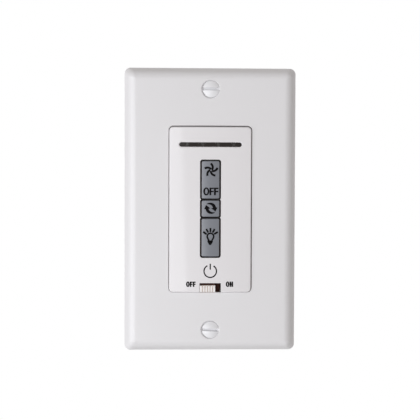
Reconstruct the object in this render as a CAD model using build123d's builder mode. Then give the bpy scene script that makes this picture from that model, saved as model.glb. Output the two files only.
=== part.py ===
from build123d import *
import os
from math import radians, tan

# Fan wall control: a cover plate, a control insert with three keys and a slider, and the works behind it.
# Millimetres. The wall is the plane Y = 0, the control faces -Y and Z is up. A height is a distance in front
# of the wall, so height 6 lies at Y = -6, and what sits inside the wall box has a negative height.

# Wall plate
plate_width = 69.2
plate_height = 114.3
plate_depth = 6.0
plate_wall = 2.0
plate_rim = 1.6
plate_bevel = 2.3
plate_corner = 2.4
plate_face_corner = 2.8
plate_shoulder = 4.2
plate_rim_edge = 0.5
collar_wall = 1.0
collar_gap = 0.4
boss_radius = 2.9
boss_gap = 0.2
rib_thickness = 1.0
rib_drop = 1.0
rib_end_gap = 15.15
rib_inset = 8.5
opening_gap = 0.25
opening_lift = 0.14
opening_shift = 0.05
opening_edge = 0.4

# Screws of the plate
plate_screw_inset = 8.73
screw_radius = 1.75
screw_hole_clearance = 0.25
thread_clearance = 0.05
plate_screw_reach = 6.0
plate_screw_head_radius = 3.25
plate_screw_dome = 0.75
screw_slot_width = 1.1
screw_slot_depth = 1.2
lower_slot_turn = 2.5
countersink_radius = 3.8
countersink_angle = 82.0
countersink_clearance = 0.06

# Mounting strap, its screws to the wall box and its earth terminal
yoke_back = 0.3
yoke_thickness = 1.2
yoke_side_margin = 0.2
yoke_middle_margin = 1.0
yoke_end_gap = 2.15
yoke_end_width = 27.0
yoke_corner = 3.0
window_margin = 1.05
window_corner = 2.0
ear_slot_length = 6.0
ear_slot_width = 1.6
ear_slot_inset = 5.4
box_screw_step = 6.77
box_hole_radius = 2.2
box_screw_reach = 24.0
box_screw_neck_radius = 1.45
box_screw_head_radius = 3.3
box_screw_head_height = 1.6
box_screw_chamfer = 0.6
retainer_radius = 4.2
retainer_thickness = 0.9
retainer_clearance = 0.05
retainer_run = 0.3
ground_tab_width = 8.0
ground_tab_reach = 9.0
ground_tab_inset = 6.2
ground_screw_drop = 5.2
ground_head_radius = 3.3
ground_head_sides = 6
ground_head_height = 1.8
ground_slot_depth = 0.8
ground_screw_end = 0.2

# Control insert
face_width = 32.8
face_corner = 1.6
face_edge = 0.5
face_proud = 1.4
face_crown = 0.7
face_wall = 2.2
side_wall = 1.6
flange_reach = 0.6
flange_thickness = 1.0
hook_z = 20.0
hook_width = 5.0
hook_thickness = 1.1
hook_barb = 0.6
hook_length = 1.6
hook_clearance = 0.1
hook_slot_clearance = 0.3

# Light bar
bar_end_gap = 3.9
bar_height = 1.75
bar_inset = 6.9
lens_clearance = 0.05
lens_recess = 0.35
lens_lip = 0.7
lens_lip_thickness = 1.0
led_count = 4
led_end_inset = 3.2
led_radius = 1.5
led_dome = 0.6
led_collar_radius = 1.85
led_collar = 0.8
led_body = 3.5
led_lead = 0.5
led_lead_spacing = 2.54
led_gap = 0.3

# Keys
key_width = 7.2
key_row_inset = 13.5
key_row_foot = 14.45
light_key_extra = 0.2
reverse_key_height = 6.55
key_split = 0.75
key_gap = 0.6
key_corner = 0.6
aperture_corner = 1.0
key_proud = 0.45
key_edge = 0.3
key_wall = 1.0
key_stop_gap = 0.05
wing_reach = 0.7
wing_thickness = 0.8
wing_inset = 1.0
foot_radius = 1.6
guide_gap = 0.2
guide_thickness = 0.9
guide_drop = 1.9

# Rocker pivot of the fan key
rocker_arm_inset = 2.3
rocker_foot_radius = 0.9
rocker_foot_width = 3.0
rocker_foot_gap = 0.05
pivot_radius = 0.8
pivot_drop = 1.0
pivot_hub_radius = 1.4
pivot_clearance = 0.08
pivot_reach = 2.2
bearing_gap = 0.2
bearing_thickness = 1.6
bearing_width = 3.6
bearing_cover = 0.5

# Air-gap slider and its switch
notch_side_gap = 0.15
notch_top_gap = 1.0
knob_width = 6.2
knob_height = 2.6
knob_bottom_gap = 0.1
knob_travel = 2.1
knob_recess = 0.1
knob_ribs = 6
knob_rib_pitch = 1.03
knob_groove_width = 0.42
knob_groove_depth = 0.4
knob_edge = 0.25
neck_length = 4.0
neck_clearance = 0.1
slide_body_inset = 0.3
slide_body_length = 6.2
slide_body_height = 3.5
slide_body_gap = 0.7
slide_slot_depth = 1.3
neck_lift = 0.3
post_width = 1.8
post_length = 1.6
post_rise = 1.0
post_clearance = 0.15

# Control board
board_gap = 1.0
board_margin = 0.8
board_end_gap = 0.5
board_thickness = 1.6
board_corner = 1.0
standoff_x = 7.9
standoff_inset = 1.6
standoff_radius = 2.0
board_screw_radius = 1.0
board_screw_head_radius = 1.9
board_screw_head_height = 1.3
board_screw_grip = 4.0
tact_size = 4.5
tact_body = 3.5
tact_plunger_radius = 1.2
tact_plunger_rise = 1.0
tact_plunger_clearance = 0.2
tact_bore_depth = 1.3
tact_plunger_sink = 0.6
chip_length = 10.0
chip_width = 4.0
chip_thickness = 1.6
chip_z = 8.0
crystal_length = 10.2
crystal_width = 3.8
crystal_thickness = 3.4
crystal_x = -5.0
crystal_z = -4.0
resistor_length = 2.0
resistor_width = 1.25
resistor_thickness = 0.5
resistor_pitch = 3.2
resistor_columns = 4
resistor_rows = 2
resistor_z = -11.0

# Rear case
case_side_margin = 2.5
case_end_gap = 6.65
case_depth = 25.0
case_wall = 1.6
case_corner = 3.0
case_edge = 1.5
case_draft = 1.0
case_screw_gap = 0.3
case_screw_inset = 5.4
case_screw_radius = 1.25
case_screw_head_radius = 2.2
case_screw_head_height = 1.1
case_screw_reach = 9.0
case_post_radius = 2.2
case_post_depth = 12.0
lead_hole_radius = 1.9
lead_hole_spacing = 12.0
lead_hole_inset = 8.0

# Power board
pillar_height = 2.0
pillar_radius = 2.6
pillar_inset = 4.0
power_side_gap = 2.4
power_end_gap = 4.4
power_screw_head_height = 1.3
power_screw_grip = 2.6
power_screw_head_radius = 1.9
film_length = 18.0
film_width = 6.5
film_height = 11.0
film_x = -1.0
film_z = 19.0
can_radius = 5.0
can_height = 11.5
can_x = 9.5
can_z = 7.5
varistor_radius = 4.6
varistor_thickness = 3.4
varistor_stand = 1.0
varistor_x = -8.5
varistor_z = 10.5
wire_radius = 0.35
wire_spacing = 5.0
fuse_radius = 2.0
fuse_length = 9.5
fuse_x = -8.0
fuse_z = 3.0
triac_width = 10.0
triac_thickness = 4.4
triac_body = 8.5
triac_tab = 3.5
triac_tab_thickness = 1.3
triac_stand = 1.5
triac_x = 9.0
triac_z = -3.5
triac_leads = 3
triac_lead_pitch = 2.54
triac_lead = 0.7
choke_outer_radius = 7.8
choke_inner_radius = 3.0
choke_height = 4.8
choke_edge = 0.8
choke_x = -8.0
choke_z = -8.5
bridge_length = 8.4
bridge_width = 6.4
bridge_height = 3.3
bridge_x = 9.0
bridge_z = -13.0
link_pins = 6
link_pitch = 2.54
link_pin = 0.64
link_strip_height = 2.5
link_z = -21.0

# The chain of sizes up the plate: plate, screws, case, board and insert
plate_screw_spacing = plate_height - 2 * plate_screw_inset
box_screw_spacing = plate_screw_spacing - 2 * box_screw_step
case_height = box_screw_spacing - 2 * case_end_gap
board_height = case_height - 2 * (case_wall + board_margin)
face_height = board_height + 2 * board_end_gap
power_board_height = case_height - 2 * (case_wall + power_end_gap)
rib_length = plate_height - 2 * rib_end_gap
yoke_middle = case_height + 2 * yoke_middle_margin
yoke_length = plate_height - 2 * (plate_wall + yoke_end_gap)
case_screw_z = case_height / 2 - case_screw_inset
lead_hole_z = lead_hole_inset - case_height / 2
pillar_z = power_board_height / 2 - pillar_inset
bar_z = face_height / 2 - bar_inset
key_row_top = face_height / 2 - key_row_inset
key_row_height = face_height - key_row_inset - key_row_foot
key_row_z = key_row_top - key_row_height / 2
fan_key_height = (key_row_height - reverse_key_height - light_key_extra) / 2 - key_split
light_key_height = fan_key_height + light_key_extra
rocker_arm = fan_key_height / 2 - rocker_arm_inset
standoff_z = key_row_height / 2 - standoff_inset

# The chain of sizes across: insert, light bar, board, case and strap
bar_length = face_width - 2 * bar_end_gap
led_spacing = (bar_length - 2 * led_end_inset) / (led_count - 1)
window_width = (led_count - 1) * led_spacing + 2 * (led_collar_radius + window_margin)
board_width = window_width + 2 * board_margin
case_screw_x = face_width / 2 + flange_reach + case_screw_head_radius + case_screw_gap
case_width = 2 * (case_screw_x + case_side_margin)
power_board_width = case_width - 2 * (case_wall + power_side_gap)
pillar_x = power_board_width / 2 - pillar_inset
yoke_width = case_width + 2 * yoke_side_margin
ground_tab_x = ground_tab_inset - yoke_width / 2
notch_width = knob_width + knob_travel + 2 * notch_side_gap
notch_height = knob_bottom_gap + knob_height + notch_top_gap
slide_body_width = notch_width - 2 * slide_body_inset

# Heights that follow from the sizes above
yoke_front = yoke_back + yoke_thickness
plate_ceiling = plate_depth - plate_wall
crown_top = plate_depth + face_proud
crown_radius = (face_width**2 / 4 + face_crown**2) / (2 * face_crown)
ceiling = crown_top - face_wall
flange_top = yoke_front + flange_thickness
board_front = yoke_back - board_gap
board_back = board_front - board_thickness
tact_top = board_front + tact_body
plunger_top = tact_top + tact_plunger_rise
key_top = crown_top + key_proud
wing_front = ceiling - key_stop_gap
wing_back = wing_front - wing_thickness
lens_back = ceiling - lens_lip_thickness
slide_top = board_front + slide_body_height
neck_back = slide_top + neck_lift
neck_front = ceiling - neck_clearance
knob_front = crown_top - knob_recess
case_back = yoke_back - case_depth
case_floor = case_back + case_wall
power_back = case_floor + pillar_height
power_front = power_back + board_thickness

# Places across the face that follow from the sizes above
opening_width = face_width + 2 * opening_gap
opening_height = face_height + 2 * opening_gap
opening_corner = face_corner + opening_gap
fan_z = key_row_top - fan_key_height / 2
reverse_z = fan_z - fan_key_height / 2 - key_split - reverse_key_height / 2
light_z = reverse_z - reverse_key_height / 2 - key_split - light_key_height / 2
aperture_width = key_width + 2 * key_gap
wing_span = aperture_width + 2 * wing_reach
guide_x = wing_span / 2 + guide_gap + guide_thickness / 2
guide_top = reverse_z + reverse_key_height / 2
guide_bottom = light_z - light_key_height / 2
pivot_height = ceiling - pivot_drop
bearing_x = aperture_width / 2 + bearing_gap + bearing_thickness / 2
switch_places = [(0, fan_z + rocker_arm), (0, fan_z - rocker_arm), (0, reverse_z), (0, light_z)]
face_bottom = -face_height / 2
knob_bottom = face_bottom + knob_bottom_gap
knob_x = -knob_travel / 2
slide_body_bottom = face_bottom + slide_body_gap
slide_z = slide_body_bottom + slide_body_length / 2
window_height = face_height - 2 * opening_gap
hook_x = face_width / 2 - hook_thickness / 2
box_thread_start = yoke_back - retainer_thickness - retainer_run
head_slope = tan(radians(countersink_angle / 2))
head_inset = (countersink_radius - countersink_clearance - plate_screw_head_radius) / head_slope
head_rim = plate_depth - head_inset
head_neck = head_rim - (plate_screw_head_radius - screw_radius) / head_slope
ground_tab_z = -yoke_middle / 2 - yoke_thickness / 2


def wall_plane(height):
    """Plane parallel to the wall at this height; its x runs across and its y runs up."""
    return Plane.XZ.offset(height)


def save(builder, name):
    """Name a finished piece and write it to its own file."""
    builder.part.label = name
    export_step(builder.part, f"parts/{name}.step")


def key_cap(center_z, height, back):
    """Hollow cap of one key, open at the back and rounded round its front."""
    with BuildPart() as cap:
        with BuildSketch(wall_plane(back)):
            with Locations((0, center_z)):
                RectangleRounded(key_width, height, key_corner)
        extrude(amount=key_top - back)
        fillet(cap.faces().sort_by(Axis.Y)[0].edges(), key_edge)
        with BuildSketch(wall_plane(back)):
            with Locations((0, center_z)):
                Rectangle(key_width - 2 * key_wall, height - 2 * key_wall)
        extrude(amount=key_top - back - key_wall, mode=Mode.SUBTRACT)
    return cap.part


def pan_screw(seat, head_radius, head_height, shank_radius, reach, slot_depth):
    """Slotted screw with a sloped head on the Y axis: the head stands on the seat, the shank goes inwards."""
    with BuildPart() as screw:
        with BuildSketch(wall_plane(seat)):
            Circle(head_radius)
        extrude(amount=head_height)
        chamfer(screw.edges().sort_by(Axis.Y)[0], head_height / 2)
        with BuildSketch(wall_plane(seat)):
            Circle(shank_radius)
        extrude(amount=-reach)
        with BuildSketch(wall_plane(seat + head_height)):
            Rectangle(2 * head_radius, screw_slot_width)
        extrude(amount=-slot_depth, mode=Mode.SUBTRACT)
    return screw.part


def press_key(center_z, height):
    """Key that is pressed straight in: cap, two wings that stop behind the face, and a foot on its switch."""
    with BuildPart() as key:
        add(key_cap(center_z, height, wing_back))
        with BuildSketch(wall_plane(wing_back)):
            with Locations((0, center_z)):
                Rectangle(wing_span, height - 2 * wing_inset)
                Rectangle(key_width - 2 * key_wall, height - 2 * key_wall, mode=Mode.SUBTRACT)
        extrude(amount=wing_thickness)
        with BuildSketch(wall_plane(plunger_top)):
            with Locations((0, center_z)):
                Circle(foot_radius)
        extrude(amount=key_top - key_wall - plunger_top)
    return key.part


def switch_plunger(place):
    """Round plunger of one small switch, standing in the bore of its body."""
    with BuildPart() as plunger:
        with BuildSketch(wall_plane(tact_top - tact_plunger_sink)):
            with Locations(place):
                Circle(tact_plunger_radius)
        extrude(amount=tact_plunger_rise + tact_plunger_sink)
    return plunger.part


os.makedirs("parts", exist_ok=True)

# Wall plate: upright rim, rounded border, hollow back, and an opening that the insert rests low in
with BuildPart() as wall_plate:
    with BuildSketch(wall_plane(0)):
        RectangleRounded(plate_width, plate_height, plate_corner)
    extrude(amount=plate_rim)
    with BuildSketch(wall_plane(plate_rim)):
        RectangleRounded(plate_width, plate_height, plate_corner)
    with BuildSketch(wall_plane(plate_depth)):
        RectangleRounded(plate_width - 2 * plate_bevel, plate_height - 2 * plate_bevel, plate_face_corner)
    loft()
    fillet(wall_plate.faces().sort_by(Axis.Y)[0].edges(), plate_shoulder)
    rim_edges = wall_plate.edges().filter_by_position(Axis.Y, -plate_rim, -plate_rim)
    fillet(rim_edges, plate_rim_edge)
    with BuildSketch(wall_plane(0)):
        RectangleRounded(plate_width - 2 * plate_wall, plate_height - 2 * plate_wall, plate_corner)
    with BuildSketch(wall_plane(plate_ceiling)):
        cavity_inset = plate_bevel + plate_wall / 2
        RectangleRounded(plate_width - 2 * cavity_inset, plate_height - 2 * cavity_inset, plate_corner)
    loft(mode=Mode.SUBTRACT)
    with BuildSketch(wall_plane(flange_top + collar_gap)):
        collar_width = opening_width + 2 * collar_wall
        collar_height = opening_height + 2 * collar_wall
        with Locations((opening_shift, opening_lift)):
            RectangleRounded(collar_width, collar_height, opening_corner + collar_wall)
    extrude(amount=plate_ceiling - flange_top - collar_gap)
    with BuildSketch(wall_plane(yoke_front + boss_gap)):
        with GridLocations(0, plate_screw_spacing, 1, 2):
            Circle(boss_radius)
    extrude(amount=plate_ceiling - yoke_front - boss_gap)
    with BuildSketch(wall_plane(plate_ceiling)):
        with GridLocations(plate_width - 2 * rib_inset, 0, 2, 1):
            Rectangle(rib_thickness, rib_length)
    extrude(amount=-rib_drop)
    with BuildSketch(wall_plane(0)):
        with Locations((opening_shift, opening_lift)):
            RectangleRounded(opening_width, opening_height, opening_corner)
    extrude(amount=plate_depth, mode=Mode.SUBTRACT)
    opening_wire = wall_plate.faces().sort_by(Axis.Y)[0].inner_wires()[0]
    fillet(opening_wire.edges(), opening_edge)
    with Locations(wall_plane(plate_depth)):
        with GridLocations(0, plate_screw_spacing, 1, 2):
            CounterSinkHole(
                screw_radius + screw_hole_clearance, countersink_radius, counter_sink_angle=countersink_angle
            )
save(wall_plate, "wall_plate")

# One oval slotted screw of the plate, then the pair
with BuildPart() as plate_screw:
    with BuildSketch(Plane.XY):
        with BuildLine():
            dome_top = head_rim + plate_screw_dome
            TangentArc((0, -dome_top), (plate_screw_head_radius, -head_rim), tangent=(1, 0))
            Polyline(
                (plate_screw_head_radius, -head_rim),
                (screw_radius, -head_neck),
                (screw_radius, plate_screw_reach),
                (0, plate_screw_reach),
                (0, -dome_top),
            )
        make_face()
    revolve(axis=Axis.Y)
    with BuildSketch(wall_plane(dome_top)):
        Rectangle(2 * plate_screw_head_radius, screw_slot_width)
    extrude(amount=-screw_slot_depth, mode=Mode.SUBTRACT)
with BuildPart() as plate_screws:
    with Locations((0, 0, plate_screw_spacing / 2)):
        add(plate_screw.part)
    with Locations(Location((0, 0, -plate_screw_spacing / 2), (0, lower_slot_turn, 0))):
        add(plate_screw.part)
save(plate_screws, "plate_screws")

# Mounting strap with its window, holes, break-off ears and bent earth tab
with BuildPart() as mounting_yoke:
    with BuildSketch(wall_plane(yoke_back)):
        RectangleRounded(yoke_width, yoke_middle, yoke_corner)
        RectangleRounded(yoke_end_width, yoke_length, yoke_corner)
        RectangleRounded(window_width, window_height, window_corner, mode=Mode.SUBTRACT)
        with GridLocations(0, plate_screw_spacing, 1, 2):
            Circle(screw_radius + thread_clearance, mode=Mode.SUBTRACT)
        with GridLocations(0, box_screw_spacing, 1, 2):
            Circle(box_hole_radius, mode=Mode.SUBTRACT)
        with GridLocations(2 * case_screw_x, 2 * case_screw_z, 2, 2):
            Circle(case_screw_radius + screw_hole_clearance, mode=Mode.SUBTRACT)
        with GridLocations(2 * hook_x, 2 * hook_z, 2, 2):
            Rectangle(
                hook_thickness + 2 * hook_slot_clearance,
                hook_width + 2 * hook_slot_clearance,
                mode=Mode.SUBTRACT,
            )
        with GridLocations(yoke_end_width - 2 * ear_slot_inset, plate_screw_spacing, 2, 2):
            SlotOverall(ear_slot_length, ear_slot_width, rotation=90, mode=Mode.SUBTRACT)
    extrude(amount=yoke_thickness)
    with BuildSketch(wall_plane(yoke_front)):
        with Locations((ground_tab_x, ground_tab_z)):
            Rectangle(ground_tab_width, yoke_thickness)
    extrude(amount=-ground_tab_reach)
    with BuildSketch(Plane.XY.offset(ground_tab_z)):
        with Locations((ground_tab_x, ground_screw_drop - yoke_front)):
            Circle(screw_radius + thread_clearance)
    extrude(amount=yoke_thickness, both=True, mode=Mode.SUBTRACT)
save(mounting_yoke, "mounting_yoke")

# Screws to the wall box: slim neck where they are held captive, full thread behind
with BuildPart() as box_screw:
    add(
        pan_screw(
            yoke_front,
            box_screw_head_radius,
            box_screw_head_height,
            box_screw_neck_radius,
            yoke_front - box_thread_start,
            box_screw_head_height / 2,
        )
    )
    with BuildSketch(wall_plane(box_thread_start)):
        Circle(screw_radius)
    extrude(amount=-(box_screw_reach + box_thread_start))
    chamfer(box_screw.edges().sort_by(Axis.Y)[-1], box_screw_chamfer)
with BuildPart() as box_screws:
    with Locations((0, 0, box_screw_spacing / 2), (0, 0, -box_screw_spacing / 2)):
        add(box_screw.part)
save(box_screws, "box_screws")

with BuildPart() as screw_retainers:
    with BuildSketch(wall_plane(yoke_back)):
        with GridLocations(0, box_screw_spacing, 1, 2):
            Circle(retainer_radius)
            Circle(box_screw_neck_radius + retainer_clearance, mode=Mode.SUBTRACT)
    extrude(amount=-retainer_thickness)
save(screw_retainers, "screw_retainers")

# Earth terminal screw in the bent tab, its head facing down
with BuildPart() as ground_screw:
    ground_height = yoke_front - ground_screw_drop
    head_seat = ground_tab_z - yoke_thickness / 2
    with BuildSketch(Plane.XY.offset(head_seat)):
        with Locations((ground_tab_x, -ground_height)):
            RegularPolygon(ground_head_radius, ground_head_sides)
    extrude(amount=-ground_head_height)
    with BuildSketch(Plane.XY.offset(head_seat)):
        with Locations((ground_tab_x, -ground_height)):
            Circle(screw_radius)
    extrude(amount=yoke_thickness + ground_screw_end)
    with BuildSketch(Plane.XY.offset(head_seat - ground_head_height)):
        with Locations((ground_tab_x, -ground_height)):
            Rectangle(2 * ground_head_radius, screw_slot_width)
    extrude(amount=ground_slot_depth, mode=Mode.SUBTRACT)
save(ground_screw, "ground_screw")

# Control insert: crowned face on a hollow frame, with snap hooks, standoffs, bearings and guides inside
with BuildPart() as control_face:
    with BuildSketch(wall_plane(yoke_front)):
        RectangleRounded(face_width, face_height, face_corner)
    extrude(amount=crown_top)
    with BuildSketch(Plane.XY):
        with Locations((0, crown_radius - crown_top)):
            Circle(crown_radius)
    extrude(amount=face_height, both=True, mode=Mode.INTERSECT)
    crown = control_face.faces().filter_by(GeomType.CYLINDER).sort_by(SortBy.AREA)[-1]
    fillet(crown.edges(), face_edge)
    with BuildSketch(wall_plane(yoke_front)):
        flange_width = face_width + 2 * flange_reach
        flange_height = face_height + 2 * flange_reach
        RectangleRounded(flange_width, flange_height, face_corner + flange_reach)
    extrude(amount=flange_thickness)
    with BuildSketch(wall_plane(yoke_front)):
        Rectangle(face_width - 2 * side_wall, face_height - 2 * side_wall)
    extrude(amount=ceiling - yoke_front, mode=Mode.SUBTRACT)
    with BuildSketch(wall_plane(board_front)):
        with Locations((0, key_row_z)):
            with GridLocations(2 * standoff_x, 2 * standoff_z, 2, 2):
                Circle(standoff_radius)
                Circle(board_screw_radius + thread_clearance, mode=Mode.SUBTRACT)
    extrude(amount=ceiling - board_front)
    with BuildSketch(wall_plane(pivot_height - pivot_radius - bearing_cover)):
        with GridLocations(2 * bearing_x, 0, 2, 1):
            with Locations((0, fan_z)):
                Rectangle(bearing_thickness, bearing_width)
    extrude(amount=ceiling - pivot_height + pivot_radius + bearing_cover)
    with BuildSketch(Plane.YZ):
        with Locations((-pivot_height, fan_z)):
            Circle(pivot_radius + pivot_clearance)
            Rectangle(
                pivot_drop + pivot_radius + bearing_cover,
                2 * (pivot_radius + pivot_clearance),
                align=(Align.MIN, Align.CENTER),
            )
    extrude(amount=bearing_x + bearing_thickness, both=True, mode=Mode.SUBTRACT)
    with BuildSketch(wall_plane(ceiling)):
        with GridLocations(2 * guide_x, 0, 2, 1):
            with Locations((0, (guide_top + guide_bottom) / 2)):
                Rectangle(guide_thickness, guide_top - guide_bottom)
    extrude(amount=-guide_drop)
    for side in (-1, 1):
        for place in (-hook_z, hook_z):
            with BuildSketch(Plane.XY.offset(place)):
                with BuildLine():
                    inner = side * (hook_x - hook_thickness / 2)
                    outer = side * (hook_x + hook_thickness / 2)
                    barb = outer + side * hook_barb
                    catch = hook_clearance - yoke_back
                    Polyline(
                        (inner, -yoke_front),
                        (outer, -yoke_front),
                        (outer, catch),
                        (barb, catch),
                        (outer, catch + hook_length),
                        (inner, catch + hook_length),
                        close=True,
                    )
                make_face()
            extrude(amount=hook_width / 2, both=True)
    with BuildSketch(wall_plane(ceiling)):
        with Locations((0, bar_z)):
            SlotOverall(bar_length, bar_height)
        with Locations((0, fan_z)):
            RectangleRounded(aperture_width, fan_key_height + 2 * key_gap, aperture_corner)
        with Locations((0, reverse_z)):
            RectangleRounded(aperture_width, reverse_key_height + 2 * key_gap, aperture_corner)
        with Locations((0, light_z)):
            RectangleRounded(aperture_width, light_key_height + 2 * key_gap, aperture_corner)
    extrude(amount=crown_top, mode=Mode.SUBTRACT)
    with BuildSketch(wall_plane(yoke_front)):
        with Locations((0, face_bottom - flange_reach)):
            Rectangle(notch_width, notch_height + flange_reach, align=(Align.CENTER, Align.MIN))
    extrude(amount=crown_top, mode=Mode.SUBTRACT)
save(control_face, "control_face")

# Smoked bar: its front follows the crown, its lip lies behind the face
with BuildPart() as light_bar_lens:
    with BuildSketch(wall_plane(ceiling)):
        with Locations((0, bar_z)):
            SlotOverall(bar_length - 2 * lens_clearance, bar_height - 2 * lens_clearance)
    extrude(amount=crown_top)
    with BuildSketch(Plane.XY.offset(bar_z)):
        with Locations((0, crown_radius - crown_top)):
            Circle(crown_radius - lens_recess)
    extrude(amount=bar_height, both=True, mode=Mode.INTERSECT)
    with BuildSketch(wall_plane(lens_back)):
        with Locations((0, bar_z)):
            SlotOverall(bar_length + 2 * lens_lip, bar_height + 2 * lens_lip)
    extrude(amount=lens_lip_thickness)
save(light_bar_lens, "light_bar_lens")

# Indicator lamps behind the bar, standing on their leads
with BuildPart() as indicator_led:
    led_top = lens_back - led_gap
    led_foot = led_top - led_body
    with BuildSketch(wall_plane(led_foot)):
        Circle(led_collar_radius)
    extrude(amount=led_collar)
    with BuildSketch(wall_plane(led_foot)):
        Circle(led_radius)
    extrude(amount=led_body)
    chamfer(indicator_led.edges().sort_by(Axis.Y)[0], led_dome)
    with BuildSketch(wall_plane(board_front)):
        with GridLocations(led_lead_spacing, 0, 2, 1):
            Rectangle(led_lead, led_lead)
    extrude(amount=led_foot - board_front)
with BuildPart() as indicator_leds:
    with Locations((0, 0, bar_z)):
        with GridLocations(led_spacing, 0, led_count, 1):
            add(indicator_led.part)
save(indicator_leds, "indicator_leds")

# Fan key: a cap that tips on two pins across its middle, with a rounded foot over each of its switches
with BuildPart() as fan_rocker:
    add(key_cap(fan_z, fan_key_height, pivot_height))
    with BuildSketch(Plane.YZ):
        with Locations((-pivot_height, fan_z)):
            Circle(pivot_hub_radius)
    extrude(amount=key_width / 2, both=True)
    with BuildSketch(Plane.YZ):
        with Locations((-pivot_height, fan_z)):
            Circle(pivot_radius)
    extrude(amount=key_width / 2 + pivot_reach, both=True)
    foot_axis = plunger_top + rocker_foot_gap + rocker_foot_radius
    with BuildSketch(Plane.YZ):
        with Locations((-foot_axis, fan_z - rocker_arm), (-foot_axis, fan_z + rocker_arm)):
            Circle(rocker_foot_radius)
            Rectangle(
                key_top - key_wall - foot_axis, 2 * rocker_foot_radius, align=(Align.MAX, Align.CENTER)
            )
    extrude(amount=rocker_foot_width / 2, both=True)
save(fan_rocker, "fan_rocker")

with BuildPart() as reverse_button:
    add(press_key(reverse_z, reverse_key_height))
save(reverse_button, "reverse_button")

with BuildPart() as light_button:
    add(press_key(light_z, light_key_height))
save(light_button, "light_button")

# Bodies of the four small switches, then the plunger of each
with BuildPart() as tact_switch_bodies:
    with BuildSketch(wall_plane(board_front)):
        with Locations(switch_places):
            Rectangle(tact_size, tact_size)
    extrude(amount=tact_body)
    with BuildSketch(wall_plane(tact_top)):
        with Locations(switch_places):
            Circle(tact_plunger_radius + tact_plunger_clearance)
    extrude(amount=-tact_bore_depth, mode=Mode.SUBTRACT)
save(tact_switch_bodies, "tact_switch_bodies")

with BuildPart() as fan_plunger_upper:
    add(switch_plunger(switch_places[0]))
save(fan_plunger_upper, "fan_plunger_upper")

with BuildPart() as fan_plunger_lower:
    add(switch_plunger(switch_places[1]))
save(fan_plunger_lower, "fan_plunger_lower")

with BuildPart() as reverse_plunger:
    add(switch_plunger(switch_places[2]))
save(reverse_plunger, "reverse_plunger")

with BuildPart() as light_plunger:
    add(switch_plunger(switch_places[3]))
save(light_plunger, "light_plunger")

# Slider: ribbed knob in the notch, on a neck that reaches up behind the face to the switch post
with BuildPart() as airgap_knob:
    with BuildSketch(wall_plane(neck_back)):
        with Locations((knob_x, knob_bottom)):
            Rectangle(knob_width, knob_height, align=(Align.CENTER, Align.MIN))
    extrude(amount=knob_front - neck_back)
    fillet(airgap_knob.faces().sort_by(Axis.Y)[0].edges(), knob_edge)
    with BuildSketch(wall_plane(neck_back)):
        with Locations((knob_x, knob_bottom)):
            Rectangle(knob_width, knob_height + neck_length, align=(Align.CENTER, Align.MIN))
    extrude(amount=neck_front - neck_back)
    with BuildSketch(wall_plane(knob_front)):
        with Locations((knob_x, knob_bottom + knob_height / 2)):
            with GridLocations(knob_rib_pitch, 0, knob_ribs - 1, 1):
                Rectangle(knob_groove_width, 2 * knob_height)
    extrude(amount=-knob_groove_depth, mode=Mode.SUBTRACT)
    with BuildSketch(wall_plane(neck_back)):
        with Locations((knob_x, slide_z)):
            Rectangle(post_width + 2 * post_clearance, post_length + 2 * post_clearance)
    extrude(amount=post_rise + post_clearance, mode=Mode.SUBTRACT)
save(airgap_knob, "airgap_knob")

with BuildPart() as airgap_switch_body:
    with BuildSketch(wall_plane(board_front)):
        with Locations((0, slide_z)):
            Rectangle(slide_body_width, slide_body_length)
    extrude(amount=slide_body_height)
    with BuildSketch(wall_plane(slide_top)):
        with Locations((0, slide_z)):
            Rectangle(post_width + knob_travel + 2 * post_clearance, post_length + 2 * post_clearance)
    extrude(amount=-slide_slot_depth, mode=Mode.SUBTRACT)
save(airgap_switch_body, "airgap_switch_body")

with BuildPart() as airgap_switch_post:
    post_foot = slide_top - slide_slot_depth + post_clearance
    with BuildSketch(wall_plane(post_foot)):
        with Locations((knob_x, slide_z)):
            Rectangle(post_width, post_length)
    extrude(amount=neck_back + post_rise - post_foot)
save(airgap_switch_post, "airgap_switch_post")

# Control board and what is soldered to its back
with BuildPart() as control_board:
    with BuildSketch(wall_plane(board_back)):
        RectangleRounded(board_width, board_height, board_corner)
        with Locations((0, key_row_z)):
            with GridLocations(2 * standoff_x, 2 * standoff_z, 2, 2):
                Circle(board_screw_radius + screw_hole_clearance, mode=Mode.SUBTRACT)
    extrude(amount=board_thickness)
save(control_board, "control_board")

with BuildPart() as board_screw:
    with BuildSketch(wall_plane(board_back)):
        Circle(board_screw_head_radius)
    extrude(amount=-board_screw_head_height)
    with BuildSketch(wall_plane(board_back)):
        Circle(board_screw_radius)
    extrude(amount=board_thickness + board_screw_grip)
with BuildPart() as board_screws:
    for across in (-standoff_x, standoff_x):
        with Locations((across, 0, key_row_z - standoff_z), (across, 0, key_row_z + standoff_z)):
            add(board_screw.part)
save(board_screws, "board_screws")

with BuildPart() as control_chip:
    with BuildSketch(wall_plane(board_back)):
        with Locations((0, chip_z)):
            Rectangle(chip_length, chip_width)
    extrude(amount=-chip_thickness)
save(control_chip, "control_chip")

with BuildPart() as crystal:
    with BuildSketch(wall_plane(board_back)):
        with Locations((crystal_x, crystal_z)):
            SlotOverall(crystal_length, crystal_width)
    extrude(amount=-crystal_thickness)
save(crystal, "crystal")

with BuildPart() as chip_resistors:
    with BuildSketch(wall_plane(board_back)):
        with Locations((0, resistor_z)):
            with GridLocations(resistor_pitch, resistor_pitch, resistor_columns, resistor_rows):
                Rectangle(resistor_length, resistor_width)
    extrude(amount=-resistor_thickness)
save(chip_resistors, "chip_resistors")

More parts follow.
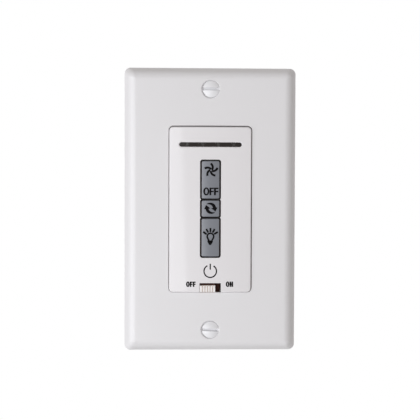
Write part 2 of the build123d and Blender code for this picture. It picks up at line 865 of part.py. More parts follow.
# Rear case: drafted box with screw posts at its corners, pillars for the power board and lead exit holes
with BuildPart() as rear_case:
    with BuildSketch(wall_plane(yoke_back)):
        RectangleRounded(case_width, case_height, case_corner)
    extrude(amount=-case_depth, taper=case_draft)
    fillet(rear_case.faces().sort_by(Axis.Y)[-1].edges(), case_edge)
    with BuildSketch(wall_plane(yoke_back)):
        RectangleRounded(case_width - 2 * case_wall, case_height - 2 * case_wall, case_corner - case_wall)
    extrude(amount=case_wall - case_depth, taper=case_draft, mode=Mode.SUBTRACT)
    with BuildSketch(wall_plane(yoke_back)):
        with GridLocations(2 * case_screw_x, 2 * case_screw_z, 2, 2):
            Circle(case_post_radius)
    extrude(amount=-case_post_depth)
    with BuildSketch(wall_plane(yoke_back)):
        with GridLocations(2 * case_screw_x, 2 * case_screw_z, 2, 2):
            Circle(case_screw_radius + thread_clearance)
    extrude(amount=-case_screw_reach, mode=Mode.SUBTRACT)
    with BuildSketch(wall_plane(case_floor)):
        with GridLocations(2 * pillar_x, 2 * pillar_z, 2, 2):
            Circle(pillar_radius)
    extrude(amount=pillar_height)
    with BuildSketch(wall_plane(power_back)):
        with GridLocations(2 * pillar_x, 2 * pillar_z, 2, 2):
            Circle(board_screw_radius + thread_clearance)
    extrude(amount=-power_screw_grip, mode=Mode.SUBTRACT)
    with BuildSketch(wall_plane(case_back)):
        with Locations((0, lead_hole_z)):
            with GridLocations(lead_hole_spacing, 0, 2, 1):
                Circle(lead_hole_radius)
    extrude(amount=case_wall, mode=Mode.SUBTRACT)
save(rear_case, "rear_case")

with BuildPart() as case_screws:
    for across in (-case_screw_x, case_screw_x):
        with Locations((across, 0, -case_screw_z), (across, 0, case_screw_z)):
            add(
                pan_screw(
                    yoke_front,
                    case_screw_head_radius,
                    case_screw_head_height,
                    case_screw_radius,
                    yoke_thickness + case_screw_reach - screw_hole_clearance,
                    case_screw_head_height / 2,
                )
            )
save(case_screws, "case_screws")

# Power board on the pillars of the case
with BuildPart() as power_board:
    with BuildSketch(wall_plane(power_back)):
        RectangleRounded(power_board_width, power_board_height, board_corner)
        with GridLocations(2 * pillar_x, 2 * pillar_z, 2, 2):
            Circle(board_screw_radius + screw_hole_clearance, mode=Mode.SUBTRACT)
    extrude(amount=board_thickness)
save(power_board, "power_board")

with BuildPart() as power_board_screws:
    power_screw_reach = board_thickness + power_screw_grip - screw_hole_clearance
    with BuildSketch(wall_plane(power_front)):
        with GridLocations(2 * pillar_x, 2 * pillar_z, 2, 2):
            Circle(power_screw_head_radius)
    extrude(amount=power_screw_head_height)
    with BuildSketch(wall_plane(power_front)):
        with GridLocations(2 * pillar_x, 2 * pillar_z, 2, 2):
            Circle(board_screw_radius)
    extrude(amount=-power_screw_reach)
save(power_board_screws, "power_board_screws")

with BuildPart() as film_capacitor:
    with BuildSketch(wall_plane(power_front)):
        with Locations((film_x, film_z)):
            Rectangle(film_length, film_width)
    extrude(amount=film_height)
save(film_capacitor, "film_capacitor")

with BuildPart() as electrolytic_capacitor:
    with BuildSketch(wall_plane(power_front)):
        with Locations((can_x, can_z)):
            Circle(can_radius)
    extrude(amount=can_height)
save(electrolytic_capacitor, "electrolytic_capacitor")

with BuildPart() as varistor:
    varistor_height = power_front + varistor_stand + varistor_radius
    with BuildSketch(Plane.XY.offset(varistor_z)):
        with Locations((varistor_x, -varistor_height)):
            Circle(varistor_radius)
    extrude(amount=varistor_thickness / 2, both=True)
    with BuildSketch(wall_plane(power_front)):
        with Locations((varistor_x, varistor_z)):
            with GridLocations(wire_spacing, 0, 2, 1):
                Circle(wire_radius)
    extrude(amount=varistor_stand + varistor_radius)
save(varistor, "varistor")

with BuildPart() as fuse:
    with BuildSketch(Plane.YZ.offset(fuse_x)):
        with Locations((-power_front - fuse_radius, fuse_z)):
            Circle(fuse_radius)
    extrude(amount=fuse_length / 2, both=True)
save(fuse, "fuse")

with BuildPart() as triac:
    triac_foot = power_front + triac_stand
    with BuildSketch(wall_plane(triac_foot)):
        with Locations((triac_x, triac_z)):
            Rectangle(triac_width, triac_thickness)
    extrude(amount=triac_body)
    with BuildSketch(wall_plane(triac_foot)):
        with Locations((triac_x, triac_z - triac_thickness / 2)):
            Rectangle(triac_width, triac_tab_thickness, align=(Align.CENTER, Align.MIN))
    extrude(amount=triac_body + triac_tab)
    with BuildSketch(wall_plane(power_front)):
        with Locations((triac_x, triac_z)):
            with GridLocations(triac_lead_pitch, 0, triac_leads, 1):
                Rectangle(triac_lead, triac_lead)
    extrude(amount=triac_stand)
save(triac, "triac")

with BuildPart() as choke:
    with BuildSketch(wall_plane(power_front)):
        with Locations((choke_x, choke_z)):
            Circle(choke_outer_radius)
            Circle(choke_inner_radius, mode=Mode.SUBTRACT)
    extrude(amount=choke_height)
    chamfer(choke.faces().sort_by(Axis.Y)[0].edges(), choke_edge)
save(choke, "choke")

with BuildPart() as bridge_rectifier:
    with BuildSketch(wall_plane(power_front)):
        with Locations((bridge_x, bridge_z)):
            Rectangle(bridge_length, bridge_width)
    extrude(amount=bridge_height)
save(bridge_rectifier, "bridge_rectifier")

# Pin strip that joins the two boards
with BuildPart() as board_link:
    with BuildSketch(wall_plane(power_front)):
        with Locations((0, link_z)):
            Rectangle(link_pins * link_pitch, link_pitch)
    extrude(amount=link_strip_height)
    with BuildSketch(wall_plane(board_back)):
        with Locations((0, link_z)):
            Rectangle(link_pins * link_pitch, link_pitch)
    extrude(amount=-link_strip_height)
    with BuildSketch(wall_plane(power_front)):
        with Locations((0, link_z)):
            with GridLocations(link_pitch, 0, link_pins, 1):
                Rectangle(link_pin, link_pin)
    extrude(amount=board_back - power_front)
save(board_link, "board_link")
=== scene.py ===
from functools import partial
from math import cos, hypot, radians, sin

import bmesh
import bpy
from bpy.props import FloatProperty, FloatVectorProperty, IntProperty, PointerProperty
from mathutils import Matrix, Vector
from mathutils.bvhtree import BVHTree


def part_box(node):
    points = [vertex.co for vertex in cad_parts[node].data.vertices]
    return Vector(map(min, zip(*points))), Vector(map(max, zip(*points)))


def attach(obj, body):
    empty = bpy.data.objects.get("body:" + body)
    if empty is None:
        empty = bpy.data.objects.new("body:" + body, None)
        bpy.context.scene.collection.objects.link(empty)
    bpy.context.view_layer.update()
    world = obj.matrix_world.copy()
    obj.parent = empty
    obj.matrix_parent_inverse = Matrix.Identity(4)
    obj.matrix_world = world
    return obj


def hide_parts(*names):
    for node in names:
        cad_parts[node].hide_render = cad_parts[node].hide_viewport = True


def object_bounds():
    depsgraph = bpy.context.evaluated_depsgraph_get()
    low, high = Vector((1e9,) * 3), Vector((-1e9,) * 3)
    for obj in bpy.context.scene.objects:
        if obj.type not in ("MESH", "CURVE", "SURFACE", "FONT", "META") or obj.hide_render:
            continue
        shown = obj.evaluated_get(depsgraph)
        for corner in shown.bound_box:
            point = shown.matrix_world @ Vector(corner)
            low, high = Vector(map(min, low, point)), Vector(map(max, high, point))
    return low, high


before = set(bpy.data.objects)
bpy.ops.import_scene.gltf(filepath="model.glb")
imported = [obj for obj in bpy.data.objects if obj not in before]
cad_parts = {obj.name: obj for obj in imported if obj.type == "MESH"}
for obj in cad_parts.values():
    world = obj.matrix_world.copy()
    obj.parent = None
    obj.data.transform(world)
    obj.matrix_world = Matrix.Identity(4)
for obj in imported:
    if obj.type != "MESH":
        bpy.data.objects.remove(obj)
CAD_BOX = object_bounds()

bl_info = {
    "name": "Fan Wall Control",
    "version": (1, 0, 0),
    "blender": (4, 5, 0),
    "location": "View3D > Sidebar > Wall Control",
    "description": "Finishes, print and studio for a fan wall control",
    "category": "Object",
}

MM = 0.001
PHOTO_WIDTH = 420
SENSOR_MM = 36.0
WELD = 0.002 * MM  # points closer than this are one
SHARP_ANGLE = radians(32)  # edges sharper than this stay sharp
CROWN_ANGLE = radians(3)  # faces of the crown lean less than this from it
EDGE_ZONE = 3 * MM  # what lies this near to a side moves with it
ROUND_STEPS = 4  # faces across a rounded edge
CAP_STEPS = 5  # points of a round line end
CAP_TURN = 84  # degrees that a line end is rounded through, to each side
KEY_BODIES = {"fan_rocker": "fan_key", "reverse_button": "reverse_key", "light_button": "light_key"}


def linear(code):
    """An sRGB hex colour as linear red, green, blue and alpha."""
    parts = [int(code[i:i + 2], 16) / 255 for i in (1, 3, 5)]
    return (*[c / 12.92 if c <= 0.04045 else ((c + 0.055) / 1.055) ** 2.4 for c in parts], 1.0)


def darker(tint, share):
    """A colour at a share of its strength."""
    return (*[part * share for part in tint[:3]], 1.0)


def setting(kind, read=lambda value: value, **more):
    """A kind of property that a user may change, made from a name, a value and a description."""
    return lambda name, value, description: kind(
        name=name, description=description, default=read(value), **more
    )


# colours are given as hex codes, lengths in millimetres and angles in degrees
colour = setting(FloatVectorProperty, linear, subtype="COLOR", size=4, min=0, max=1)
length = setting(FloatProperty, lambda size: size * MM, subtype="DISTANCE", unit="LENGTH")
angle = setting(FloatProperty, radians, subtype="ANGLE", unit="ROTATION")
number = setting(FloatProperty)
power = setting(FloatProperty, unit="POWER")
lamp_tint = setting(FloatVectorProperty, subtype="COLOR")
count = setting(IntProperty)


def position(name, across, up):
    """Where a sign is printed, in millimetres."""
    return FloatVectorProperty(
        name=name, description="Right of the middle line and above the middle of its piece",
        subtype="XYZ", unit="LENGTH", size=2, default=(across * MM, up * MM),
    )


class WALLCONTROL_PG_colours(bpy.types.PropertyGroup):
    """Colours of the finishes."""

    plate: colour("Plate", "#E8E7E8", "White of the wall plate")
    insert: colour("Insert", "#EDEBEC", "White of the control insert")
    screw: colour("Screw paint", "#EEEEF0", "Enamel on the plate screws")
    knob: colour("Slider", "#FCF9F7", "Slightly warm white of the slider")
    # painted shade: the slider's groove floors and its sides behind the front take a darker, warmer
    # white that stands in for the shade in them
    groove: colour("Slider grooves", "#E9DED6", "Unpolished grooves of the slider")
    # painted shade: the walls of the plate's opening take a dark warm colour that stands in for the
    # shade in the gap round the insert
    gap: colour("Opening walls", "#8C766A", "Unpolished walls of the plate's opening")
    keys: colour("Keys", "#7C7F86", "Cool grey of the keys")
    # painted shade: the keys' sides behind the front take a dark brown that stands in for the shade
    # in the gaps round them
    skirt: colour("Key skirts", "#3A2018", "Dark rubber round the keys")
    # the switch's own dark colour, also used as painted shade on the slider's hidden top
    switch: colour("Slide switch", "#4A2A20", "Dark nylon behind the slider")
    ink: colour("Ink", "#0A090A", "Black of the printed signs and words")
    lens: colour("Lens", "#1A110D", "Smoked acrylic of the light bar")
    lamp_spot: colour("Lamp spots", "#3A3836", "Lamps seen faintly through the smoked acrylic")
    case: colour("Case", "#1D1D1F", "Black of the rear case")
    zinc: colour("Zinc", "#C3C2BE", "Plated steel of strap and screws")
    zinc_dark: colour("Zinc dark", "#A5A6A6", "Darker crystals in the plating")
    earth: colour("Earth green", "#1E7A3C", "Dyed plating of the earth screw")
    fibre: colour("Fibre", "#CDBF9C", "Pressed fibre of the screw retainers")


class WALLCONTROL_PG_print(bpy.types.PropertyGroup):
    """Sizes and places of the printed signs and words."""

    thickness: length("Ink thickness", 0.04, "Height of the print, half of it in the surface")
    fan_radius: length("Fan radius", 2.76, "Centre of the fan sign to the end of a blade line")
    fan_stroke: length("Fan line", 0.82, "Width of a blade line")
    fan_blades: count("Fan blades", 5, "Blade lines of the fan sign")
    fan_turn: angle("Fan turn", -5, "First blade line from upright")
    fan_place: position("Fan sign", 0.2, 3.84)
    key_cap: length("Key word height", 3.02, "Capital height of the word on the fan key")
    key_stroke: length("Key word line", 0.69, "Line width of the word on the fan key")
    key_gap: length("Key word gap", 0.07, "Gap between the letters on the fan key")
    key_place: position("Key word", 0.12, -4.64)
    arrow_radius: length("Arrow radius", 2.32, "Outside of the two turning arrows")
    arrow_place: position("Arrows", 0.1, 0.14)
    bulb_radius: length("Bulb radius", 1.3, "Middle of the bulb's line")
    bulb_stroke: length("Bulb line", 0.64, "Line width of the bulb sign")
    bulb_place: position("Bulb", 0, 0.45)
    base_stroke: length("Bulb base line", 0.42, "Line width of the bulb's screw base")
    rays: count("Rays", 5, "Light rays round the bulb")
    ray_step: angle("Ray step", 29, "Angle from one ray to the next")
    ray_start: length("Ray start", 2.1, "Middle of the bulb to the start of a ray")
    ray_end: length("Ray end", 3.45, "Middle of the bulb to the end of a ray")
    word_cap: length("Word height", 2.14, "Capital height of the words beside the slider")
    word_stroke: length("Word line", 0.61, "Line width of the words beside the slider")
    word_gap: length("Word gap", 0.05, "Gap between the letters beside the slider")
    off_place: position("Off word", -7.78, -29.85)
    on_place: position("On word", 7.75, -29.85)
    power_radius: length("Power sign radius", 2.5, "Ring of the power sign")
    power_stroke: length("Power sign line", 0.5, "Line width of the power sign")
    power_place: position("Power sign", 0, -24.6)


class WALLCONTROL_PG_thread(bpy.types.PropertyGroup):
    """Sizes of the screw threads."""

    radius: length("Thread radius", 1.75, "Outside of the thread")
    core: length("Core radius", 1.4, "Bottom of the thread")
    ridge: length("Ridge", 0.34, "Half the height of the ridge's section")
    pitch: length("Pitch", 0.794, "One turn of the thread")
    steps: count("Steps", 28, "Points in one turn")


class WALLCONTROL_PG_stage(bpy.types.PropertyGroup):
    """Camera, lamps and floor."""

    distance: length("Distance", 437.4, "Camera to the middle of the plate")
    turn: angle("Turn", -2.285, "Camera round the object, to the left if negative")
    lift: angle("Lift", 2.097, "Camera above the horizon")
    roll: angle("Roll", 0.202, "Camera turned about its own line of sight")
    aim_x: length("Aim across", 0.108, "Point aimed at, across the wall")
    aim_z: length("Aim up", -0.26, "Point aimed at, up the wall")
    focal: number("Focal length", 1073.0, "In pixels of the frame")
    ambient: number("Ambient", 0.365, "Level of the light from all round")
    ambient_tint: lamp_tint("Ambient tint", (1.0, 0.937, 0.902), "Tint of the light from all round")
    box_power: power("Softbox", 6.55, "Power of the softbox")
    box_tint: lamp_tint("Softbox tint", (0.98, 1.003, 1.042), "Tint of the softboxes")
    box_distance: length("Softbox distance", 800.0, "Softboxes to the object")
    box_width: length("Softbox width", 1040.0, "Width of the softboxes")
    box_height: length("Softbox height", 800.0, "Height of the softboxes")
    box_turn: angle("Softbox turn", 38.3, "Softbox to the left of straight ahead")
    box_drop: angle("Softbox drop", 15.5, "Softbox below the horizon")
    back_power: power("Back softbox", 2.8, "Power of the softbox behind")
    back_turn: angle("Back softbox turn", 182.0, "Softbox behind, to the left of straight ahead")
    back_lift: angle("Back softbox lift", 4.0, "Softbox behind, above the horizon")
    floor_drop: length("Floor drop", 420.0, "Floor below the middle of the plate")
    floor_radius: length("Floor radius", 600.0, "Half the floor's width")


def add_node(tree, kind, inputs=(), **settings):
    """Add a node with its settings; each input takes a value, a socket or a list of sockets."""
    node = tree.nodes.new(kind)
    for name, value in settings.items():
        setattr(node, name, value)
    for key, value in dict(inputs).items():
        if isinstance(value, (bpy.types.NodeSocket, list)):
            for socket in value if isinstance(value, list) else [value]:
                tree.links.new(socket, node.inputs[key])
        else:
            node.inputs[key].default_value = value
    return node


def material_base(name):
    """A new material, what adds nodes to it, and its Object coordinates."""
    material = bpy.data.materials.new(name)
    material.use_nodes = True
    material.node_tree.nodes.clear()
    add = partial(add_node, material.node_tree)
    return material, add, add("ShaderNodeTexCoord").outputs["Object"]


def relief(add, height, roughness, swing, depth, strength=1.0):
    """Shader inputs of a surface whose gloss and whose bump follow the same pattern."""
    low, high = roughness * (1 - swing), roughness * (1 + swing)
    gloss = add("ShaderNodeMapRange", {"Value": height, "To Min": low, "To Max": high})
    bump = add("ShaderNodeBump", {"Strength": strength, "Distance": depth, "Height": height})
    return {"Roughness": gloss.outputs["Result"], "Normal": bump.outputs["Normal"]}


def shade(add, inputs):
    """Close a material with its shader."""
    shader = add("ShaderNodeBsdfPrincipled", inputs)
    add("ShaderNodeOutputMaterial", {"Surface": shader.outputs["BSDF"]})


def moulded_plastic(name, tint, roughness, grain, depth, ior=1.54, cloud=0.02, specular=0.5):
    """Injection-moulded plastic: one even colour with a faint cloud in it, and the grain of the
    mould, its width and depth in millimetres. It gives the eye a soft sheen that is a little broken
    up, never a perfect mirror. The grain is drawn coarser than a real one, so that it shows."""
    material, add, place = material_base(name)
    cloud_width = 18 * MM
    flow = add("ShaderNodeTexNoise", {"Vector": place, "Scale": 1 / cloud_width, "Detail": 2.0})
    tones = {0: flow.outputs["Fac"], 6: darker(tint, 1 - cloud), 7: tuple(tint)}
    tone = add("ShaderNodeMix", tones, data_type="RGBA")
    skin = add("ShaderNodeTexNoise", {"Vector": place, "Scale": 1 / (grain * MM), "Detail": 3.0})
    skin_inputs = relief(add, skin.outputs["Fac"], roughness, swing=0.1, depth=depth * MM)
    gloss = {"IOR": ior, "Specular IOR Level": specular}
    shade(add, {"Base Color": tone.outputs[2], **skin_inputs, **gloss})
    return material


def pad_print(name, tint):
    """Pad-printed ink: a thin matt black film, a little uneven, with hardly any shine."""
    return moulded_plastic(name, tint, 0.6, 0.3, 0.002, ior=1.5, cloud=0.2, specular=0.06)


def zinc_plate(name, bright, dark, roughness=0.34):
    """Zinc-plated rolled steel: small crystals of two greys and faint rolling lines along the
    strip. It gives the eye a cool, slightly patchy metal sheen. Crystals and lines are drawn
    coarser than the real ones, so that they show."""
    material, add, place = material_base(name)
    crystal, line, stretch = 1.1 * MM, 0.25 * MM, 0.04
    crystals = add("ShaderNodeTexVoronoi", {"Vector": place, "Scale": 1 / crystal})
    patch = add("ShaderNodeSeparateColor", {0: crystals.outputs["Color"]})
    tones = {0: patch.outputs[0], 6: tuple(dark), 7: tuple(bright)}
    tone = add("ShaderNodeMix", tones, data_type="RGBA")
    rolled = add("ShaderNodeMapping", {"Vector": place, "Scale": (1.0, 1.0, stretch)})
    lines = add(
        "ShaderNodeTexNoise", {"Vector": rolled.outputs[0], "Scale": 1 / line, "Detail": 3.0}
    )
    sheen = relief(add, lines.outputs["Fac"], roughness, swing=0.3, depth=0.004 * MM, strength=0.6)
    shade(add, {"Base Color": tone.outputs[2], "Metallic": 1.0, **sheen})
    return material


def pressed_fibre(name, tint):
    """Pressed fibre board: pale tan with short darker hairs lying all ways, and no shine."""
    material, add, place = material_base(name)
    hair, depth = 0.5 * MM, 0.03 * MM
    hairs = add(
        "ShaderNodeTexNoise",
        {"Vector": place, "Scale": 1 / hair, "Detail": 5.0, "Distortion": 2.5},
    ).outputs["Fac"]
    tones = {0: hairs, 6: darker(tint, 0.72), 7: tuple(tint)}
    tone = add("ShaderNodeMix", tones, data_type="RGBA")
    bump = add("ShaderNodeBump", {"Strength": 0.8, "Distance": depth, "Height": hairs})
    normal = bump.outputs["Normal"]
    shade(add, {"Base Color": tone.outputs[2], "Roughness": 0.85, "Normal": normal})
    return material


def smoked_acrylic(name, tint, spot):
    """Smoked acrylic: near black and glossy, with the lamps behind it showing as four faint grey
    spots."""
    material, add, place = material_base(name)
    low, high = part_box("indicator_leds")
    lamps, collar = 4, high.z - low.z
    half_step = (high.x - low.x - collar) / (2 * (lamps - 1))
    spot_core, spot_edge = 0.25 * MM, 0.9 * MM
    ripple_width, ripple_depth = 2.2 * MM, 0.02 * MM
    apart = add("ShaderNodeSeparateXYZ", {"Vector": place}).outputs
    across = add("ShaderNodeMath", {0: apart["X"], 1: half_step}, operation="PINGPONG")
    aside = add("ShaderNodeMath", {0: half_step, 1: across.outputs[0]}, operation="SUBTRACT")
    above = add("ShaderNodeMath", {0: apart["Z"], 1: (low.z + high.z) / 2}, operation="SUBTRACT")
    offset = add("ShaderNodeCombineXYZ", {"X": aside.outputs[0], "Z": above.outputs[0]})
    away = add("ShaderNodeVectorMath", {0: offset.outputs[0]}, operation="LENGTH")
    reach = {"Value": away.outputs["Value"], "From Min": spot_core, "From Max": spot_edge}
    fade = {"To Min": 1.0, "To Max": 0.0}
    glow = add("ShaderNodeMapRange", {**reach, **fade}, interpolation_type="SMOOTHSTEP")
    tones = {0: glow.outputs["Result"], 6: tuple(tint), 7: tuple(spot)}
    tone = add("ShaderNodeMix", tones, data_type="RGBA")
    ripple = add("ShaderNodeTexNoise", {"Vector": place, "Scale": 1 / ripple_width, "Detail": 1.0})
    wave = {"Strength": 1.0, "Distance": ripple_depth, "Height": ripple.outputs["Fac"]}
    bump = add("ShaderNodeBump", wave)
    gloss = {"Roughness": 0.1, "IOR": 1.49, "Specular IOR Level": 0.3}
    shade(add, {"Base Color": tone.outputs[2], "Normal": bump.outputs["Normal"], **gloss})
    return material


def solder_mask(name, ground, track):
    """Solder mask over copper: lighter tracks under a glossy coat. The tracks, 2.5 mm apart, are
    drawn coarser than real ones, so that they show."""
    material, add, place = material_base(name)
    spread = 8 * MM
    wave = {"Vector": place, "Scale": 1 / spread, "Distortion": 3.0, "Detail": 1.0}
    tracks = add("ShaderNodeTexWave", wave).outputs["Fac"]
    edge = add("ShaderNodeMapRange", {"Value": tracks, "From Min": 0.62, "From Max": 0.7})
    tones = {0: edge.outputs["Result"], 6: ground, 7: track}
    tone = add("ShaderNodeMix", tones, data_type="RGBA")
    shade(add, {"Base Color": tone.outputs[2], "Roughness": 0.3, "Coat Weight": 0.3})
    return material


def enamelled_copper(name, dark, bright):
    """Enamelled copper wire, wound close: warm metal with a ridge for each turn. The turns, 1.9 mm
    apart, are drawn coarser than real ones, so that they show."""
    material, add, place = material_base(name)
    spread, depth = 6 * MM, 0.2 * MM
    wave = {"Vector": place, "Scale": 1 / spread}
    turns = add("ShaderNodeTexWave", wave, bands_direction="X").outputs["Fac"]
    bump = add("ShaderNodeBump", {"Strength": 1.0, "Distance": depth, "Height": turns})
    tone = add("ShaderNodeMix", {0: turns, 6: dark, 7: bright}, data_type="RGBA")
    sheen = {"Metallic": 1.0, "Roughness": 0.3, "Normal": bump.outputs["Normal"]}
    shade(add, {"Base Color": tone.outputs[2], **sheen})
    return material


def link_object(name, data):
    """A new object at the origin."""
    piece = bpy.data.objects.new(name, data)
    bpy.context.scene.collection.objects.link(piece)
    return piece


def new_piece(name, work, material):
    """A new piece at the origin from a work mesh, which is used up."""
    mesh = bpy.data.meshes.new(name)
    work.to_mesh(mesh)
    work.free()
    mesh.materials.append(material)
    return link_object(name, mesh)


def welded_copy(node, name, material, soften=None):
    """A copy of a CAD node with its loose triangles joined and its curved faces shaded smooth;
    soften may change its edges first."""
    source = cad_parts[node].data
    work = bmesh.new()
    corners = [work.verts.new(vertex.co) for vertex in source.vertices]
    for face in source.polygons:
        work.faces.new([corners[i] for i in face.vertices]).smooth = True
    bmesh.ops.remove_doubles(work, verts=work.verts, dist=WELD)
    bmesh.ops.dissolve_degenerate(work, edges=work.edges, dist=WELD / 10)
    if soften:
        soften(work)
    piece = new_piece(name, work, material)
    piece.data.set_sharp_from_angle(angle=SHARP_ANGLE)
    return piece


def round_edges(work, edges, width, slide=True):
    """Round these edges; slide lets the rounding follow the edges that meet them."""
    bmesh.ops.bevel(
        work, geom=edges, offset=width, offset_type="OFFSET", segments=ROUND_STEPS, profile=0.5,
        affect="EDGES", clamp_overlap=True, loop_slide=slide,
    )


def bow_front(work, radius, depth, step):
    """Bow the front of a piece across the wall: cut it in strips and let its sides fall back."""
    reach = max(vertex.co.x for vertex in work.verts)
    front = min(vertex.co.y for vertex in work.verts)
    strips = int(reach / step)
    for i in range(-strips, strips + 1):
        whole = [*work.verts, *work.edges, *work.faces]
        cut = {"plane_co": (i * step, 0, 0), "plane_no": (1, 0, 0)}
        bmesh.ops.bisect_plane(work, geom=whole, dist=WELD, **cut)
    for vertex in work.verts:
        if vertex.co.y < front + depth:
            vertex.co.y += vertex.co.x**2 / (2 * radius)


def even_shading(piece):
    """Let large faces lead the shading, so that flat faces stay flat up to their rounded edges."""
    weights = piece.modifiers.new("Face weights", "WEIGHTED_NORMAL")
    weights.keep_sharp = True
    weights.weight = 100


def settle(piece, body, slot, *nodes):
    """Attach a finished piece to its body and hide the nodes that it stands for; the slot is not
    used.
    """
    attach(piece, body)
    if nodes:
        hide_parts(*nodes)


def finish(node, name, material, slot, soften=None, even=False):
    """Finish a fixed piece in one material; even lets large faces lead its shading."""
    piece = welded_copy(node, name, material, soften)
    if even:
        even_shading(piece)
    settle(piece, "control", slot, node)


def dress(material, *nodes):
    """Give nodes that stay as they are a finish."""
    for node in nodes:
        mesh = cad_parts[node].data
        mesh.materials.clear()
        mesh.materials.append(material)


def nearest(values, place):
    """The value that lies nearest to a place."""
    return min(values, key=lambda value: abs(value - place))


def node_tree(name, sockets):
    """An empty geometry node tree, what adds nodes to it, and its inputs."""
    tree = bpy.data.node_groups.new(name, "GeometryNodeTree")
    tree.interface.new_socket("Geometry", in_out="INPUT", socket_type="NodeSocketGeometry")
    for label, kind in sockets.items():
        tree.interface.new_socket(label, in_out="INPUT", socket_type=f"NodeSocket{kind}")
    tree.interface.new_socket("Geometry", in_out="OUTPUT", socket_type="NodeSocketGeometry")
    add = partial(add_node, tree)
    return tree, add, add("NodeGroupInput").outputs


def close_tree(add, geometry, material):
    """End a geometry node tree in plain geometry with its material."""
    plain = add("GeometryNodeRealizeInstances", {"Geometry": geometry}).outputs[0]
    coat = add("GeometryNodeSetMaterial", {"Geometry": plain, "Material": material})
    add("NodeGroupOutput", {"Geometry": coat.outputs[0]})


def turn_copies(piece, copies, first, step, material):
    """Copy a flat sign stroke round the Y axis, turned by even steps."""
    sockets = {"Copies": "Int", "First": "Float", "Step": "Float", "Material": "Material"}
    tree, add, given = node_tree("Turned copies", sockets)
    line = add("GeometryNodeGeometryToInstance", {"Geometry": given["Geometry"]}).outputs[0]
    pile = {"Geometry": line, "Amount": given["Copies"]}
    copied = add("GeometryNodeDuplicateElements", pile, domain="INSTANCE").outputs
    steps = {0: copied["Duplicate Index"], 1: given["Step"], 2: given["First"]}
    turn = add("ShaderNodeMath", steps, operation="MULTIPLY_ADD").outputs[0]
    spin = add("FunctionNodeAxisAngleToRotation", {"Axis": (0, 1, 0), "Angle": turn}).outputs[0]
    turned = {"Instances": copied["Geometry"], "Rotation": spin, "Local Space": False}
    ring = add("GeometryNodeRotateInstances", turned)
    close_tree(add, ring.outputs[0], given["Material"])
    values = {"Copies": copies, "First": first, "Step": step, "Material": material}
    grow(piece, tree, values)


def thread_tree():
    """A ridge wound round each of two screws, added to the screws' cores."""
    sizes = ("Radius", "Ridge", "Turns", "Height", "Start", "Spacing")
    sockets = {**dict.fromkeys(sizes, "Float"), "Steps": "Int", "Material": "Material"}
    tree, add, given = node_tree("Screw thread", sockets)
    path = add(
        "GeometryNodeCurveSpiral",
        {
            "Resolution": given["Steps"],
            "Rotations": given["Turns"],
            "Start Radius": given["Radius"],
            "End Radius": given["Radius"],
            "Height": given["Height"],
        },
    ).outputs[0]
    upright = add("GeometryNodeSetCurveNormal", {"Curve": path}, mode="Z_UP").outputs[0]
    four_sided = {"Resolution": 4, "Radius": given["Ridge"]}
    section = add("GeometryNodeCurvePrimitiveCircle", four_sided, mode="RADIUS").outputs[0]
    ridge = add(
        "GeometryNodeCurveToMesh",
        {"Curve": upright, "Profile Curve": section, "Fill Caps": True},
    ).outputs[0]
    start = add("ShaderNodeCombineXYZ", {"Y": given["Start"]}).outputs[0]
    laid = add(
        "GeometryNodeTransform",
        {"Geometry": ridge, "Translation": start, "Rotation": (radians(-90), 0, 0)},
    ).outputs[0]
    half = add("ShaderNodeMath", {0: given["Spacing"], 1: -0.5}, operation="MULTIPLY").outputs[0]
    first = add("ShaderNodeCombineXYZ", {"Z": half}).outputs[0]
    apart = add("ShaderNodeCombineXYZ", {"Z": given["Spacing"]}).outputs[0]
    pair = {"Count": 2, "Start Location": first, "Offset": apart}
    places = add("GeometryNodeMeshLine", pair, mode="OFFSET").outputs[0]
    threads = add("GeometryNodeInstanceOnPoints", {"Points": places, "Instance": laid}).outputs[0]
    whole = add("GeometryNodeJoinGeometry", {"Geometry": [given["Geometry"], threads]})
    close_tree(add, whole.outputs[0], given["Material"])
    return tree


def grow(piece, tree, values):
    """Run a node tree on a piece with these named inputs, and keep the result as its plain mesh."""
    modifier = piece.modifiers.new(tree.name, "NODES")
    modifier.node_group = tree
    for item in tree.interface.items_tree:
        if item.in_out == "INPUT" and item.name in values:
            modifier[item.identifier] = values[item.name]
    evaluated = piece.evaluated_get(bpy.context.evaluated_depsgraph_get())
    mesh = bpy.data.meshes.new_from_object(evaluated)
    piece.modifiers.remove(modifier)
    piece.data = mesh
    bpy.data.node_groups.remove(tree)


def arc(radius, start, end, steps):
    """Points on an arc about the middle, between angles in degrees anticlockwise from the right."""
    turns = [radians(start + (end - start) * i / steps) for i in range(steps + 1)]
    return [Vector((radius * cos(t), radius * sin(t))) for t in turns]


def band(work, right, left, closed=False):
    """Flat faces between two lines of points across and up the wall."""
    rows = [[work.verts.new((p.x, 0, p.y)) for p in side] for side in (right, left)]
    points = len(right)
    for i in range(points if closed else points - 1):
        j = (i + 1) % points
        work.faces.new((rows[0][i], rows[0][j], rows[1][j], rows[1][i]))


def outline(work, points):
    """One flat face inside an outline that runs anticlockwise."""
    work.faces.new([work.verts.new((x, 0, y)) for x, y in points])


def stroke(work, points, width):
    """A flat line of even width along a path. Its start is round and its end square: the cap that
    follows the end lies back on the line, CAP_STEPS points before it."""
    path = [Vector(p) for p in points]
    sides = []
    for before, after in zip([path[0], *path[:-1]], [*path[1:], path[-1]]):
        along = (after - before).normalized()
        sides.append(Vector((-along.y, along.x)))
    turns = [radians(CAP_TURN * (i + 1) / CAP_STEPS) for i in range(CAP_STEPS)]
    halves = [cos(t) * width / 2 for t in turns]
    widths = halves[::-1] + [width / 2] * len(path) + halves
    side = sides[0]
    cap = [path[0] - Vector((side.y, -side.x)) * sin(t) * width / 2 for t in turns]
    path, sides = cap[::-1] + path, [side] * CAP_STEPS + sides
    back = len(path) - 1 - CAP_STEPS
    side = sides[back]
    path += [path[back] + Vector((side.y, -side.x)) * sin(t) * width / 2 for t in turns]
    sides += [side] * CAP_STEPS
    right = [p - s * w for p, s, w in zip(path, sides, widths)]
    left = [p + s * w for p, s, w in zip(path, sides, widths)]
    band(work, right, left)


